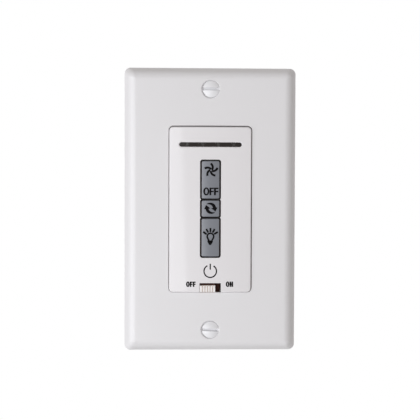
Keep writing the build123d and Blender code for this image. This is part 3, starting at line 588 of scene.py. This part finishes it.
def letter(work, sign, left, width, cap, line):
    """One plain capital about the middle height, its level strokes a little thinner."""
    foot, head, right = -cap / 2, cap / 2, left + width
    level, stem = 0.78 * line, left + line
    if sign == "O":
        centre, rise, sides = left + width / 2, 0.53 * cap, 36
        turns = [radians(360 / sides * i) for i in range(sides)]
        rings = [
            [Vector((centre + across * cos(t), up * sin(t))) for t in turns]
            for across, up in ((width / 2, rise), (width / 2 - line, rise - level))
        ]
        band(work, *rings, closed=True)
    if sign == "F":
        bar, bar_end = -0.01 * cap, right - line / 8
        low, high = bar - level / 2, bar + level / 2
        arms = [(stem, low), (bar_end, low), (bar_end, high), (stem, high)]
        top = [(stem, head - level), (right, head - level), (right, head), (left, head)]
        outline(work, [(left, foot), (stem, foot), *arms, *top])
    if sign == "N":
        slant, post = 1.7 * line, right - line
        down = [(left, foot), (stem, foot), (stem, head - slant), (post, foot), (right, foot)]
        up = [(right, head), (post, head), (post, foot + slant), (stem, head), (left, head)]
        outline(work, down + up)


def word(work, letters, gap, cap, line):
    """A centred word; each letter comes with its width in millimetres."""
    letters = [(sign, width * MM) for sign, width in letters]
    left = -(sum(width for _, width in letters) + gap * (len(letters) - 1)) / 2
    for sign, width in letters:
        letter(work, sign, left, width, cap, line)
        left += width + gap


def print_on(piece, node, at):
    """Move a flat sign to its place, drop it on the front of a node and attach it to its body."""
    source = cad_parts[node].data
    tree = BVHTree.FromPolygons(
        [v.co for v in source.vertices], [tuple(face.vertices) for face in source.polygons]
    )
    low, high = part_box(node)
    across, up = at[0], (low.z + high.z) / 2 + at[1]
    ahead = CAD_BOX[0].y - MM
    for vertex in piece.data.vertices:
        start = Vector((vertex.co.x + across, ahead, vertex.co.z + up))
        hit = tree.ray_cast(start, Vector((0, 1, 0)))[0]
        if hit is None:
            raise RuntimeError(f"{piece.name} runs off {node}")
        vertex.co = hit
    film = piece.modifiers.new("Ink", "SOLIDIFY")
    film.thickness = bpy.context.scene.wall_print.thickness
    film.offset = 0
    slot = "key_grey" if node in KEY_BODIES else "insert_white"
    settle(piece, KEY_BODIES.get(node, "control"), slot)


def screw_heights(node):
    """Heights of the two screws of a node, read off their tips."""
    points = [vertex.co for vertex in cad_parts[node].data.vertices]
    tip = max(point.y for point in points)
    ends = sorted(point.z for point in points if point.y > tip - WELD)
    lower = [z for z in ends if z < (ends[0] + ends[-1]) / 2]
    upper = ends[len(lower):]
    return [(lower[0] + lower[-1]) / 2, (upper[0] + upper[-1]) / 2]


def threaded_screws(node, name, material, start, end, soften=None):
    """A pair of screws with their threads cut: slimmer cores and a ridge wound round each."""
    sizes = bpy.context.scene.wall_thread
    piece = welded_copy(node, name, material, soften)
    centres = screw_heights(node)
    play = 0.02 * MM
    for vertex in piece.data.vertices:
        centre = nearest(centres, vertex.co.z)
        reach = Vector((vertex.co.x, 0, vertex.co.z - centre))
        if vertex.co.y > start - WELD and abs(reach.length - sizes.radius) < play:
            reach *= sizes.core / sizes.radius
            vertex.co = Vector((reach.x, vertex.co.y, centre + reach.z))
    height = end - start - 2 * sizes.ridge
    values = {
        "Radius": sizes.radius - sizes.ridge,
        "Ridge": sizes.ridge,
        "Turns": height / sizes.pitch,
        "Height": height,
        "Start": start + sizes.ridge,
        "Spacing": centres[1] - centres[0],
        "Steps": sizes.steps,
        "Material": material,
    }
    grow(piece, thread_tree(), values)
    return piece


class WALLCONTROL_OT_wall_plate(bpy.types.Operator):
    """Finish the wall plate with its rounded border, and painted shade on the walls of its opening
    """

    bl_idname = "wall_control.wall_plate"
    bl_label = "Wall plate"

    hole_round: length("Hole rounding", 0.25, "Rounding round the screw holes")
    opening_left: length("Opening left", 0.12, "How much further out its left edge is drawn")
    opening_top: length("Opening top", 0.2, "How much further up its upper edge is drawn")

    def execute(self, context):
        colours = context.scene.wall_colours
        coat = moulded_plastic("Gloss moulded ABS, plate white", colours.plate, 0.3, 1.4, 0.004)
        opening_shade = moulded_plastic(
            "Unpolished moulded ABS, opening walls", colours.gap, 0.6, 0.3, 0.01, specular=0.2
        )
        piece = welded_copy("wall_plate", "plate_shell", coat, self.soften)
        piece.data.materials.append(opening_shade)
        # painted shade: faces inside the opening that face sideways take the dark warm colour that
        # stands in for the shade in the gap
        reach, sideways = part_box("control_face")[1], 0.3
        for face in piece.data.polygons:
            inside = abs(face.center.x) < reach.x and abs(face.center.z) < reach.z
            face.material_index = int(inside and abs(face.normal.y) < sideways)
        even_shading(piece)
        settle(piece, "control", "plate_white", "wall_plate")
        return {"FINISHED"}

    def soften(self, work):
        """Draw the opening's left and upper edges out, and round the rims of the screw holes."""
        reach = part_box("control_face")[1]
        collar = 1.5 * MM
        for vertex in work.verts:
            left, above = -vertex.co.x - reach.x, vertex.co.z - reach.z
            if -2 * reach.x < left < collar and -2 * reach.z < above < collar:
                if left > -EDGE_ZONE:
                    vertex.co.x -= self.opening_left
                if above > -EDGE_ZONE:
                    vertex.co.z += self.opening_top
        front = min(vertex.co.y for vertex in work.verts)
        low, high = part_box("plate_screws")
        margin, flat = 2 * MM, -0.99
        near = {
            vertex
            for vertex in work.verts
            if vertex.co.y < front + WELD
            and abs(vertex.co.x) < high.x + margin
            and min(vertex.co.z - low.z, high.z - vertex.co.z) < 2 * high.x + margin
        }
        rims = [
            edge
            for edge in work.edges
            if near.issuperset(edge.verts)
            and any(face.normal.y > flat for face in edge.link_faces)
        ]
        round_edges(work, rims, self.hole_round)


class WALLCONTROL_OT_plate_screws(bpy.types.Operator):
    """Paint and thread the two screws of the plate"""

    bl_idname = "wall_control.plate_screws"
    bl_label = "Plate screws"

    drift: length("Drift", 0.24, "How far the heads stand to the right in their holes")
    lift: length("Lift", 0.47, "How far the heads stand out past their seats")
    growth: length("Growth", 0.22, "How much larger the heads' radius is drawn")
    rim_round: length("Rim rounding", 0.2, "Rounding of the heads' rims")
    neck: length("Neck", 2.4, "Front of the plate to the start of the thread")

    def execute(self, context):
        tint = context.scene.wall_colours.screw
        paint = moulded_plastic("White enamel on steel", tint, 0.26, 0.8, 0.006, ior=1.5)
        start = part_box("wall_plate")[0].y + self.neck
        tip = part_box("plate_screws")[1].y
        piece = threaded_screws(
            "plate_screws", "plate_screws_painted", paint, start, tip, self.soften
        )
        settle(piece, "control", "screw_white", "plate_screws")
        return {"FINISHED"}

    def soften(self, work):
        """Draw the two heads to their size and place, and round their rims."""
        centres = screw_heights("plate_screws")
        reach = {
            vertex: min(hypot(vertex.co.x, vertex.co.z - z) for z in centres)
            for vertex in work.verts
        }
        radius = max(reach.values())
        rim = {vertex for vertex in work.verts if reach[vertex] > radius - 2 * WELD}
        edges = [edge for edge in work.edges if rim.issuperset(edge.verts)]
        back = max(vertex.co.y for vertex in rim)
        scale = 1 + self.growth / radius
        for vertex in work.verts:
            if vertex.co.y < back + WELD:
                centre = nearest(centres, vertex.co.z)
                vertex.co.x = vertex.co.x * scale + self.drift
                vertex.co.z = centre + (vertex.co.z - centre) * scale
                vertex.co.y -= self.lift
        round_edges(work, edges, self.rim_round)


class WALLCONTROL_OT_control_face(bpy.types.Operator):
    """Finish the crowned insert"""

    bl_idname = "wall_control.control_face"
    bl_label = "Control insert"

    crown_radius: length("Crown radius", 192.5, "Radius of the insert's crowned front")
    slot_round: length("Slot rounding", 0.4, "Rounding round the light bar's slot")
    opening_round: length("Opening rounding", 0.15, "Rounding round the keys and the slider")
    left_reach: length("Left reach", 0.12, "How much further out the left side is drawn")
    top_reach: length("Top reach", 0.2, "How much further up the top is drawn")

    def execute(self, context):
        tint = context.scene.wall_colours.insert
        coat = moulded_plastic(
            "Gloss moulded ABS, insert white", tint, 0.08, 1.4, 0.0005, specular=0.33
        )
        piece = welded_copy("control_face", "insert_shell", coat, self.soften)
        self.crown_shading(piece.data)
        settle(piece, "control", "insert_white", "control_face")
        return {"FINISHED"}

    def crown_shading(self, mesh):
        """Shade the crowned front as the even curve that it is."""
        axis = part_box("control_face")[0].y + self.crown_radius
        sag = 0.1 * MM
        normals = [corner.vector.copy() for corner in mesh.corner_normals]
        for face in mesh.polygons:
            out = Vector((face.center.x, face.center.y - axis, 0))
            on_crown = abs(out.length - self.crown_radius) < sag
            if on_crown and face.normal.dot(out.normalized()) > cos(CROWN_ANGLE):
                for i in face.loop_indices:
                    point = mesh.vertices[mesh.loops[i].vertex_index].co
                    normals[i] = Vector((point.x, point.y - axis, 0)).normalized()
        mesh.normals_split_custom_set(normals)

    def soften(self, work):
        """Draw the left side and the top out, then round the front edges of the light bar's slot,
        and less those of the keys' and the slider's openings."""
        low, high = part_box("control_face")
        for vertex in work.verts:
            if vertex.co.x < low.x + EDGE_ZONE:
                vertex.co.x -= self.left_reach
            if vertex.co.z > high.z - EDGE_ZONE:
                vertex.co.z += self.top_reach
        slot_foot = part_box("light_bar_lens")[0].z - MM
        fronts = [edge for edge in work.edges if self.front_edge(edge)]
        for width, above in ((self.slot_round, True), (self.opening_round, False)):
            edges = [edge for edge in fronts if (edge.verts[0].co.z > slot_foot) == above]
            round_edges(work, edges, width, slide=False)
            fronts = [edge for edge in fronts if edge.is_valid]
        for face in work.faces:
            face.smooth = True

    def front_edge(self, edge):
        """Whether the front and a wall of an opening meet at this edge."""
        if len(edge.link_faces) != 2:
            return False
        forward, sideways = -0.9, 0.2
        front, wall = sorted(face.normal.y for face in edge.link_faces)
        return front < forward and abs(wall) < sideways


class WALLCONTROL_OT_light_bar(bpy.types.Operator):
    """Finish the smoked light bar and the lamps behind it"""

    bl_idname = "wall_control.light_bar"
    bl_label = "Light bar"

    bow_radius: length("Bow radius", 192.5, "Radius of the lens's bowed front")
    edge: length("Edge", 0.1, "Depth of the front that follows the bow")

    def execute(self, context):
        colours = context.scene.wall_colours
        acrylic = smoked_acrylic("Smoked acrylic", colours.lens, colours.lamp_spot)
        finish("light_bar_lens", "light_bar_smoked", acrylic, "smoked_lens", self.soften, even=True)
        epoxy = moulded_plastic("Water-clear epoxy", linear("#D9DCDD"), 0.12, 2.0, 0.001, ior=1.5)
        dress(epoxy, "indicator_leds")
        return {"FINISHED"}

    def soften(self, work):
        """Bow the lens as the insert is bowed."""
        bow_front(work, self.bow_radius, self.edge, step=MM)


class WALLCONTROL_OT_keys(bpy.types.Operator):
    """Finish the three grey keys, with painted shade on their sides"""

    bl_idname = "wall_control.keys"
    bl_label = "Keys"

    bow_radius: length("Bow radius", 30.0, "Radius of a key's slightly bowed front")
    edge: length("Edge", 0.4, "Depth of the front that follows the bow")
    skirt_start: length("Skirt start", 0.32, "Front of a key to its dark skirt")

    def execute(self, context):
        colours = context.scene.wall_colours
        coat = moulded_plastic(
            "Satin moulded ABS, key grey", colours.keys, 0.24, 0.5, 0.003, cloud=0.04
        )
        skirt = moulded_plastic(
            "Dark brown silicone rubber", colours.skirt, 0.6, 0.4, 0.006, specular=0.1
        )
        for node, body in KEY_BODIES.items():
            piece = welded_copy(node, f"{node}_cap", coat, self.soften)
            piece.data.materials.append(skirt)
            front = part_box(node)[0].y
            # painted shade: faces set back from a key's front take the dark brown that stands in
            # for the shade in the gaps round the keys
            for face in piece.data.polygons:
                face.material_index = int(face.center.y > front + self.skirt_start)
            even_shading(piece)
            settle(piece, body, "key_grey", node)
        return {"FINISHED"}

    def soften(self, work):
        """Bow the key's front very slightly."""
        bow_front(work, self.bow_radius, self.edge, step=0.5 * MM)


class WALLCONTROL_OT_key_signs(bpy.types.Operator):
    """Print the signs and the word on the keys"""

    bl_idname = "wall_control.key_signs"
    bl_label = "Key signs"

    def execute(self, context):
        sizes = context.scene.wall_print
        ink = pad_print("Black pad-print ink, keys", context.scene.wall_colours.ink)
        for sign in (self.fan_sign, self.key_word, self.turning_arrows, self.bulb):
            sign(sizes, ink)
        return {"FINISHED"}

    def fan_sign(self, sizes, ink):
        """Blade lines that bow the same way round, given in shares of the sign's radius."""
        shares = ((0.2, 0.15), (0.39, 0.59), (0.035, 0.985))
        start, bulge, tip = [Vector(share) * sizes.fan_radius for share in shares]
        parts = 14
        steps = [i / parts for i in range(parts + 1)]
        path = [start * (1 - t) ** 2 + bulge * 2 * t * (1 - t) + tip * t**2 for t in steps]
        work = bmesh.new()
        stroke(work, path, sizes.fan_stroke)
        piece = new_piece("fan_sign", work, ink)
        blades = sizes.fan_blades
        turn_copies(piece, blades, sizes.fan_turn, radians(360) / blades, ink)
        print_on(piece, "fan_rocker", sizes.fan_place)

    def key_word(self, sizes, ink):
        """The word at the foot of the fan key."""
        work = bmesh.new()
        letters = [("O", 2.42), ("F", 1.76), ("F", 1.76)]
        word(work, letters, sizes.key_gap, sizes.key_cap, sizes.key_stroke)
        print_on(new_piece("key_word_off", work, ink), "fan_rocker", sizes.key_place)

    def turning_arrows(self, sizes, ink):
        """Two arrows chasing each other clockwise, each a crescent that thins away from its broad
        head, given in shares of the sign's radius."""
        work = bmesh.new()
        outer, steps = sizes.arrow_radius, 18
        bend = arc(outer, 12, 140, steps)
        rim = [p * (0.9 + 0.12 * i / steps) for i, p in enumerate(bend)]
        inside = [p * (0.38 + 0.64 * (i / steps) ** 2.4) for i, p in enumerate(bend)]
        band(work, rim, inside)
        head = [Vector(share) * outer for share in ((0.08, 0.02), (0.8, -0.56), (1.13, 0.1))]
        outline(work, [inside[0], *head, rim[0]])
        piece = new_piece("turning_arrows", work, ink)
        turn_copies(piece, 2, 0.0, radians(180), ink)
        print_on(piece, "reverse_button", sizes.arrow_place)

    def bulb(self, sizes, ink):
        """A bulb with its screw base, and rays round its top."""
        line, step = sizes.bulb_stroke, sizes.ray_step
        ray_line = 1.15 * line
        work = bmesh.new()
        stroke(work, [(0, sizes.ray_start), (0, sizes.ray_end)], ray_line)
        rays = new_piece("bulb_rays", work, ink)
        turn_copies(rays, sizes.rays, -step * (sizes.rays - 1) / 2, step, ink)
        work = bmesh.new()
        neck = Vector((0.56, -1.72)) * MM
        glass = arc(sizes.bulb_radius, -28, 208, 30)
        stroke(work, [neck, *glass, Vector((-neck.x, neck.y))], line)
        base_rows = ((1.8, 1.95), (2.15, 1.95), (2.5, 1.55), (2.85, 1.15), (3.2, 0.7))
        for drop, width in base_rows:
            half = width / 2 * MM
            stroke(work, [(-half, -drop * MM), (half, -drop * MM)], sizes.base_stroke)
        for piece in (rays, new_piece("bulb_sign", work, ink)):
            print_on(piece, "light_button", sizes.bulb_place)


class WALLCONTROL_OT_face_print(bpy.types.Operator):
    """Print the words and the power sign on the insert"""

    bl_idname = "wall_control.face_print"
    bl_label = "Insert print"

    def execute(self, context):
        sizes = context.scene.wall_print
        ink = pad_print("Black pad-print ink, insert", context.scene.wall_colours.ink)
        words = {
            "word_off": ([("O", 1.48), ("F", 1.14), ("F", 1.14)], sizes.off_place),
            "word_on": ([("O", 1.48), ("N", 1.42)], sizes.on_place),
        }
        for name, (letters, place) in words.items():
            work = bmesh.new()
            word(work, letters, sizes.word_gap, sizes.word_cap, sizes.word_stroke)
            print_on(new_piece(name, work, ink), "control_face", place)
        work = bmesh.new()
        radius = sizes.power_radius
        stroke(work, arc(radius, 122, 418, 48), sizes.power_stroke)
        stroke(work, [(0, 0.35 * radius), (0, 1.2 * radius)], sizes.power_stroke)
        print_on(new_piece("power_sign", work, ink), "control_face", sizes.power_place)
        return {"FINISHED"}


class WALLCONTROL_OT_slider(bpy.types.Operator):
    """Finish the ribbed slider, with painted shade in its grooves, on its sides and on its hidden
    top, and the switch behind it
    """

    bl_idname = "wall_control.slider"
    bl_label = "Slider"

    groove: length("Groove", 0.4, "Depth of the finger grooves in the frame")
    deep_groove: length("Deep groove", 0.6, "Depth that the finger grooves are cut to")
    lip: length("Switch lip", 0.2, "How far the switch's front reaches below the slider")

    def execute(self, context):
        colours = context.scene.wall_colours
        coat = moulded_plastic("Satin moulded ABS, slider white", colours.knob, 0.4, 0.5, 0.004)
        dark = moulded_plastic(
            "Dark brown moulded nylon", colours.switch, 0.5, 0.4, 0.006, specular=0.1
        )
        floor = moulded_plastic(
            "Unpolished moulded ABS, slider grooves", colours.groove, 0.6, 0.3, 0.01
        )
        piece = welded_copy("airgap_knob", "slider_knob", coat, self.soften)
        mesh = piece.data
        mesh.materials.append(dark)
        mesh.materials.append(floor)
        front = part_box("airgap_knob")[0].y
        cap_top = max(vertex.co.z for vertex in mesh.vertices if vertex.co.y < front + self.groove)
        for face in mesh.polygons:
            # painted shade: the slider's top above its cap, which lies in the shade of the notch,
            # takes the dark nylon colour
            if face.center.z > cap_top + WELD:
                face.material_index = 1
            # painted shade: what lies behind the front, the groove floors and the sides, takes the
            # darker warm white
            elif face.center.y > front + self.groove / 2:
                face.material_index = 2
        even_shading(piece)
        settle(piece, "airgap_slider", "knob_white", "airgap_knob")
        finish("airgap_switch_body", "slide_switch", dark, "switch_black", self.switch_lip)
        return {"FINISHED"}

    def soften(self, work):
        """Cut the finger grooves deeper."""
        front = min(vertex.co.y for vertex in work.verts)
        play = 0.02 * MM
        for vertex in work.verts:
            if abs(vertex.co.y - front - self.groove) < play:
                vertex.co.y = front + self.deep_groove

    def switch_lip(self, work):
        """Draw the switch's front down past the slider as a dark face, painted shade at the foot of
        the notch, so that the strap doesn't show below it.
        """
        front = min(vertex.co.y for vertex in work.verts)
        foot = min(vertex.co.z for vertex in work.verts)
        for vertex in work.verts:
            if vertex.co.y < front + WELD and vertex.co.z < foot + WELD:
                vertex.co.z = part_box("airgap_knob")[0].z - self.lip


class WALLCONTROL_OT_strap(bpy.types.Operator):
    """Finish the steel strap, its earth screw, its screws to the wall box and their retainers"""

    bl_idname = "wall_control.strap"
    bl_label = "Strap and screws"

    thread_gap: length("Thread gap", 0.3, "Retainers to the start of the thread")
    bare_tip: length("Bare tip", 0.6, "End of the thread to the screws' tips")

    def execute(self, context):
        colours = context.scene.wall_colours
        zinc = zinc_plate("Zinc-plated steel", colours.zinc, colours.zinc_dark)
        finish("mounting_yoke", "strap_plated", zinc, "yoke_steel", even=True)
        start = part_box("screw_retainers")[1].y + self.thread_gap
        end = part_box("box_screws")[1].y - self.bare_tip
        screws = threaded_screws("box_screws", "box_screws_threaded", zinc, start, end)
        settle(screws, "control", "screw_steel", "box_screws")
        fibre = pressed_fibre("Pressed fibre", colours.fibre)
        finish("screw_retainers", "retainers_fibre", fibre, "retainer_fibre")
        dyed = zinc_plate("Green-dyed plating", colours.earth, darker(colours.earth, 0.7))
        finish("ground_screw", "earth_screw_dyed", dyed, "ground_green")
        dress(zinc, "case_screws", "board_screws", "power_board_screws")
        return {"FINISHED"}


class WALLCONTROL_OT_rear_case(bpy.types.Operator):
    """Finish the black rear case"""

    bl_idname = "wall_control.rear_case"
    bl_label = "Rear case"

    def execute(self, context):
        tint = context.scene.wall_colours.case
        coat = moulded_plastic("Spark-textured black ABS", tint, 0.5, 0.6, 0.07, cloud=0.3)
        finish("rear_case", "case_shell", coat, "case_black", even=True)
        return {"FINISHED"}


class WALLCONTROL_OT_inner_works(bpy.types.Operator):
    """Finish the boards, switches and components inside"""

    bl_idname = "wall_control.inner_works"
    bl_label = "Inner works"

    def execute(self, context):
        plungers = ("fan_plunger_upper", "fan_plunger_lower", "reverse_plunger", "light_plunger")
        switches = ("tact_switch_bodies", *plungers, "airgap_switch_post", "board_link")
        chips = ("control_chip", "chip_resistors", "triac", "bridge_rectifier")
        mouldings = {
            "Black moulded nylon": ("#161617", 0.5, switches),
            "Black moulded epoxy": ("#1B1B1C", 0.6, chips),
            "Yellow box resin": ("#D8A92A", 0.4, ("film_capacitor",)),
            "Blue dipped epoxy": ("#2B4F93", 0.35, ("varistor",)),
            "Brown moulded phenolic": ("#5B3A24", 0.45, ("fuse",)),
        }
        for name, (code, roughness, nodes) in mouldings.items():
            dress(moulded_plastic(name, linear(code), roughness, 0.4, 0.008), *nodes)
        boards = {
            "Brown-black solder mask": ("#1E0F0A", "#2E1A12", "control_board"),
            "Green solder mask": ("#14211A", "#22382A", "power_board"),
        }
        for name, (ground, track, node) in boards.items():
            dress(solder_mask(name, linear(ground), linear(track)), node)
        can = zinc_plate("Tinned can", linear("#C8C9CA"), linear("#AEB0B2"), 0.3)
        dress(can, "crystal", "electrolytic_capacitor")
        copper = enamelled_copper("Enamelled copper winding", linear("#6E3214"), linear("#B5602B"))
        dress(copper, "choke")
        return {"FINISHED"}


class WALLCONTROL_OT_stage(bpy.types.Operator):
    """Set up the floor, the light and the camera"""

    bl_idname = "wall_control.stage"
    bl_label = "Stage"

    def execute(self, context):
        sizes = context.scene.wall_stage
        self.light_all_round(context, sizes)
        self.softbox("Softbox", sizes.box_power, sizes.box_turn, -sizes.box_drop, sizes)
        self.softbox("Back softbox", sizes.back_power, sizes.back_turn, sizes.back_lift, sizes)
        self.floor(sizes)
        self.camera(context, sizes)
        context.scene.view_settings.view_transform = "Standard"
        return {"FINISHED"}

    def seen(self, add):
        """One for rays that show the surroundings, nought for rays that only light the object."""
        rays = add("ShaderNodeLightPath").outputs
        shown = rays["Is Camera Ray"]
        for kind in ("Is Glossy Ray", "Is Transmission Ray"):
            shown = add("ShaderNodeMath", {0: shown, 1: rays[kind]}, operation="MAXIMUM").outputs[0]
        return shown

    def light_all_round(self, context, sizes):
        """White surroundings that light the object at the ambient level."""
        world = bpy.data.worlds.new("White studio")
        context.scene.world = world
        world.use_nodes = True
        world.node_tree.nodes.clear()
        add = partial(add_node, world.node_tree)
        glow = (*[sizes.ambient * part for part in sizes.ambient_tint], 1)
        tones = {0: self.seen(add), 6: glow, 7: (1, 1, 1, 1)}
        level = add("ShaderNodeMix", tones, data_type="RGBA")
        sky = add("ShaderNodeBackground", {"Color": level.outputs[2]})
        add("ShaderNodeOutputWorld", {"Surface": sky.outputs[0]})

    def softbox(self, name, power, turn, lift, sizes):
        """A large softbox aimed at the object, its turn counted to the left of straight ahead."""
        lamp = bpy.data.lights.new(name, "AREA")
        lamp.shape = "RECTANGLE"
        lamp.size, lamp.size_y = sizes.box_width, sizes.box_height
        lamp.energy = power
        lamp.color = sizes.box_tint
        box = link_object(name, lamp)
        way = Vector((-sin(turn) * cos(lift), -cos(turn) * cos(lift), sin(lift)))
        box.location = way * sizes.box_distance
        box.rotation_euler = (-way).to_track_quat("-Z", "Y").to_euler()
        box.visible_camera = False

    def floor(self, sizes):
        """A pale round sheet of paper, matt, that fades into the white surroundings."""
        material, add, place = material_base("Pale paper sweep")
        radius, fade_start = sizes.floor_radius, 0.35
        apart = add("ShaderNodeSeparateXYZ", {"Vector": place}).outputs
        flat = add("ShaderNodeCombineXYZ", {"X": apart["X"], "Y": apart["Y"]}).outputs[0]
        away = add("ShaderNodeVectorMath", {0: flat}, operation="LENGTH").outputs["Value"]
        reach = {"Value": away, "From Min": fade_start * radius, "From Max": radius}
        fade = add("ShaderNodeMapRange", reach, interpolation_type="SMOOTHSTEP").outputs["Result"]
        paper = add("ShaderNodeBsdfDiffuse", {"Color": linear("#F4F4F4")}).outputs[0]
        white = add("ShaderNodeEmission", {"Strength": self.seen(add)}).outputs[0]
        sheet = add("ShaderNodeMixShader", {0: fade, 1: paper, 2: white})
        add("ShaderNodeOutputMaterial", {"Surface": sheet.outputs[0]})
        work = bmesh.new()
        bmesh.ops.create_circle(work, cap_ends=True, segments=96, radius=radius)
        bmesh.ops.translate(work, verts=work.verts, vec=(0, 0, -sizes.floor_drop))
        new_piece("floor_sheet", work, material)

    def camera(self, context, sizes):
        """The camera of the photograph: nearly straight on, a little from the left and above."""
        lens = bpy.data.cameras.new("Camera")
        lens.sensor_width = SENSOR_MM
        lens.lens = SENSOR_MM * sizes.focal / PHOTO_WIDTH
        eye = link_object("Camera", lens)
        flat = cos(sizes.lift)
        back = Vector((sin(sizes.turn) * flat, -cos(sizes.turn) * flat, sin(sizes.lift)))
        level = Vector((cos(sizes.turn), sin(sizes.turn), 0))
        right = level * cos(sizes.roll) + back.cross(level) * sin(sizes.roll)
        turned = Matrix((right, back.cross(right), back)).transposed().to_4x4()
        aim = Vector((sizes.aim_x, 0, sizes.aim_z))
        eye.matrix_world = Matrix.Translation(aim + back * sizes.distance) @ turned
        context.scene.camera = eye


OPERATORS = (
    WALLCONTROL_OT_wall_plate,
    WALLCONTROL_OT_plate_screws,
    WALLCONTROL_OT_control_face,
    WALLCONTROL_OT_light_bar,
    WALLCONTROL_OT_keys,
    WALLCONTROL_OT_key_signs,
    WALLCONTROL_OT_face_print,
    WALLCONTROL_OT_slider,
    WALLCONTROL_OT_strap,
    WALLCONTROL_OT_rear_case,
    WALLCONTROL_OT_inner_works,
    WALLCONTROL_OT_stage,
)
GROUPS = {
    "wall_colours": WALLCONTROL_PG_colours,
    "wall_print": WALLCONTROL_PG_print,
    "wall_thread": WALLCONTROL_PG_thread,
    "wall_stage": WALLCONTROL_PG_stage,
}


class WALLCONTROL_PT_panel(bpy.types.Panel):
    """Lists the pieces of the control and the sizes and colours that they are made with"""

    bl_idname = "WALLCONTROL_PT_panel"
    bl_label = "Fan wall control"
    bl_space_type = "VIEW_3D"
    bl_region_type = "UI"
    bl_category = "Wall Control"

    def draw(self, context):
        for operator in OPERATORS:
            self.layout.operator(operator.bl_idname)
        for group, kind in GROUPS.items():
            box = self.layout.box()
            box.label(text=kind.__doc__)
            for name in kind.__annotations__:
                box.prop(getattr(context.scene, group), name)


def register():
    for kind in (*GROUPS.values(), *OPERATORS, WALLCONTROL_PT_panel):
        bpy.utils.register_class(kind)
    for group, kind in GROUPS.items():
        setattr(bpy.types.Scene, group, PointerProperty(type=kind))


def unregister():
    for group in GROUPS:
        delattr(bpy.types.Scene, group)
    for kind in (WALLCONTROL_PT_panel, *reversed(OPERATORS), *reversed(GROUPS.values())):
        bpy.utils.unregister_class(kind)


def main():
    """Register the add-on, then make every piece and the stage."""
    register()
    for operator in OPERATORS:
        family, step = operator.bl_idname.split(".")
        getattr(getattr(bpy.ops, family), step)()


if __name__ == "__main__":
    main()
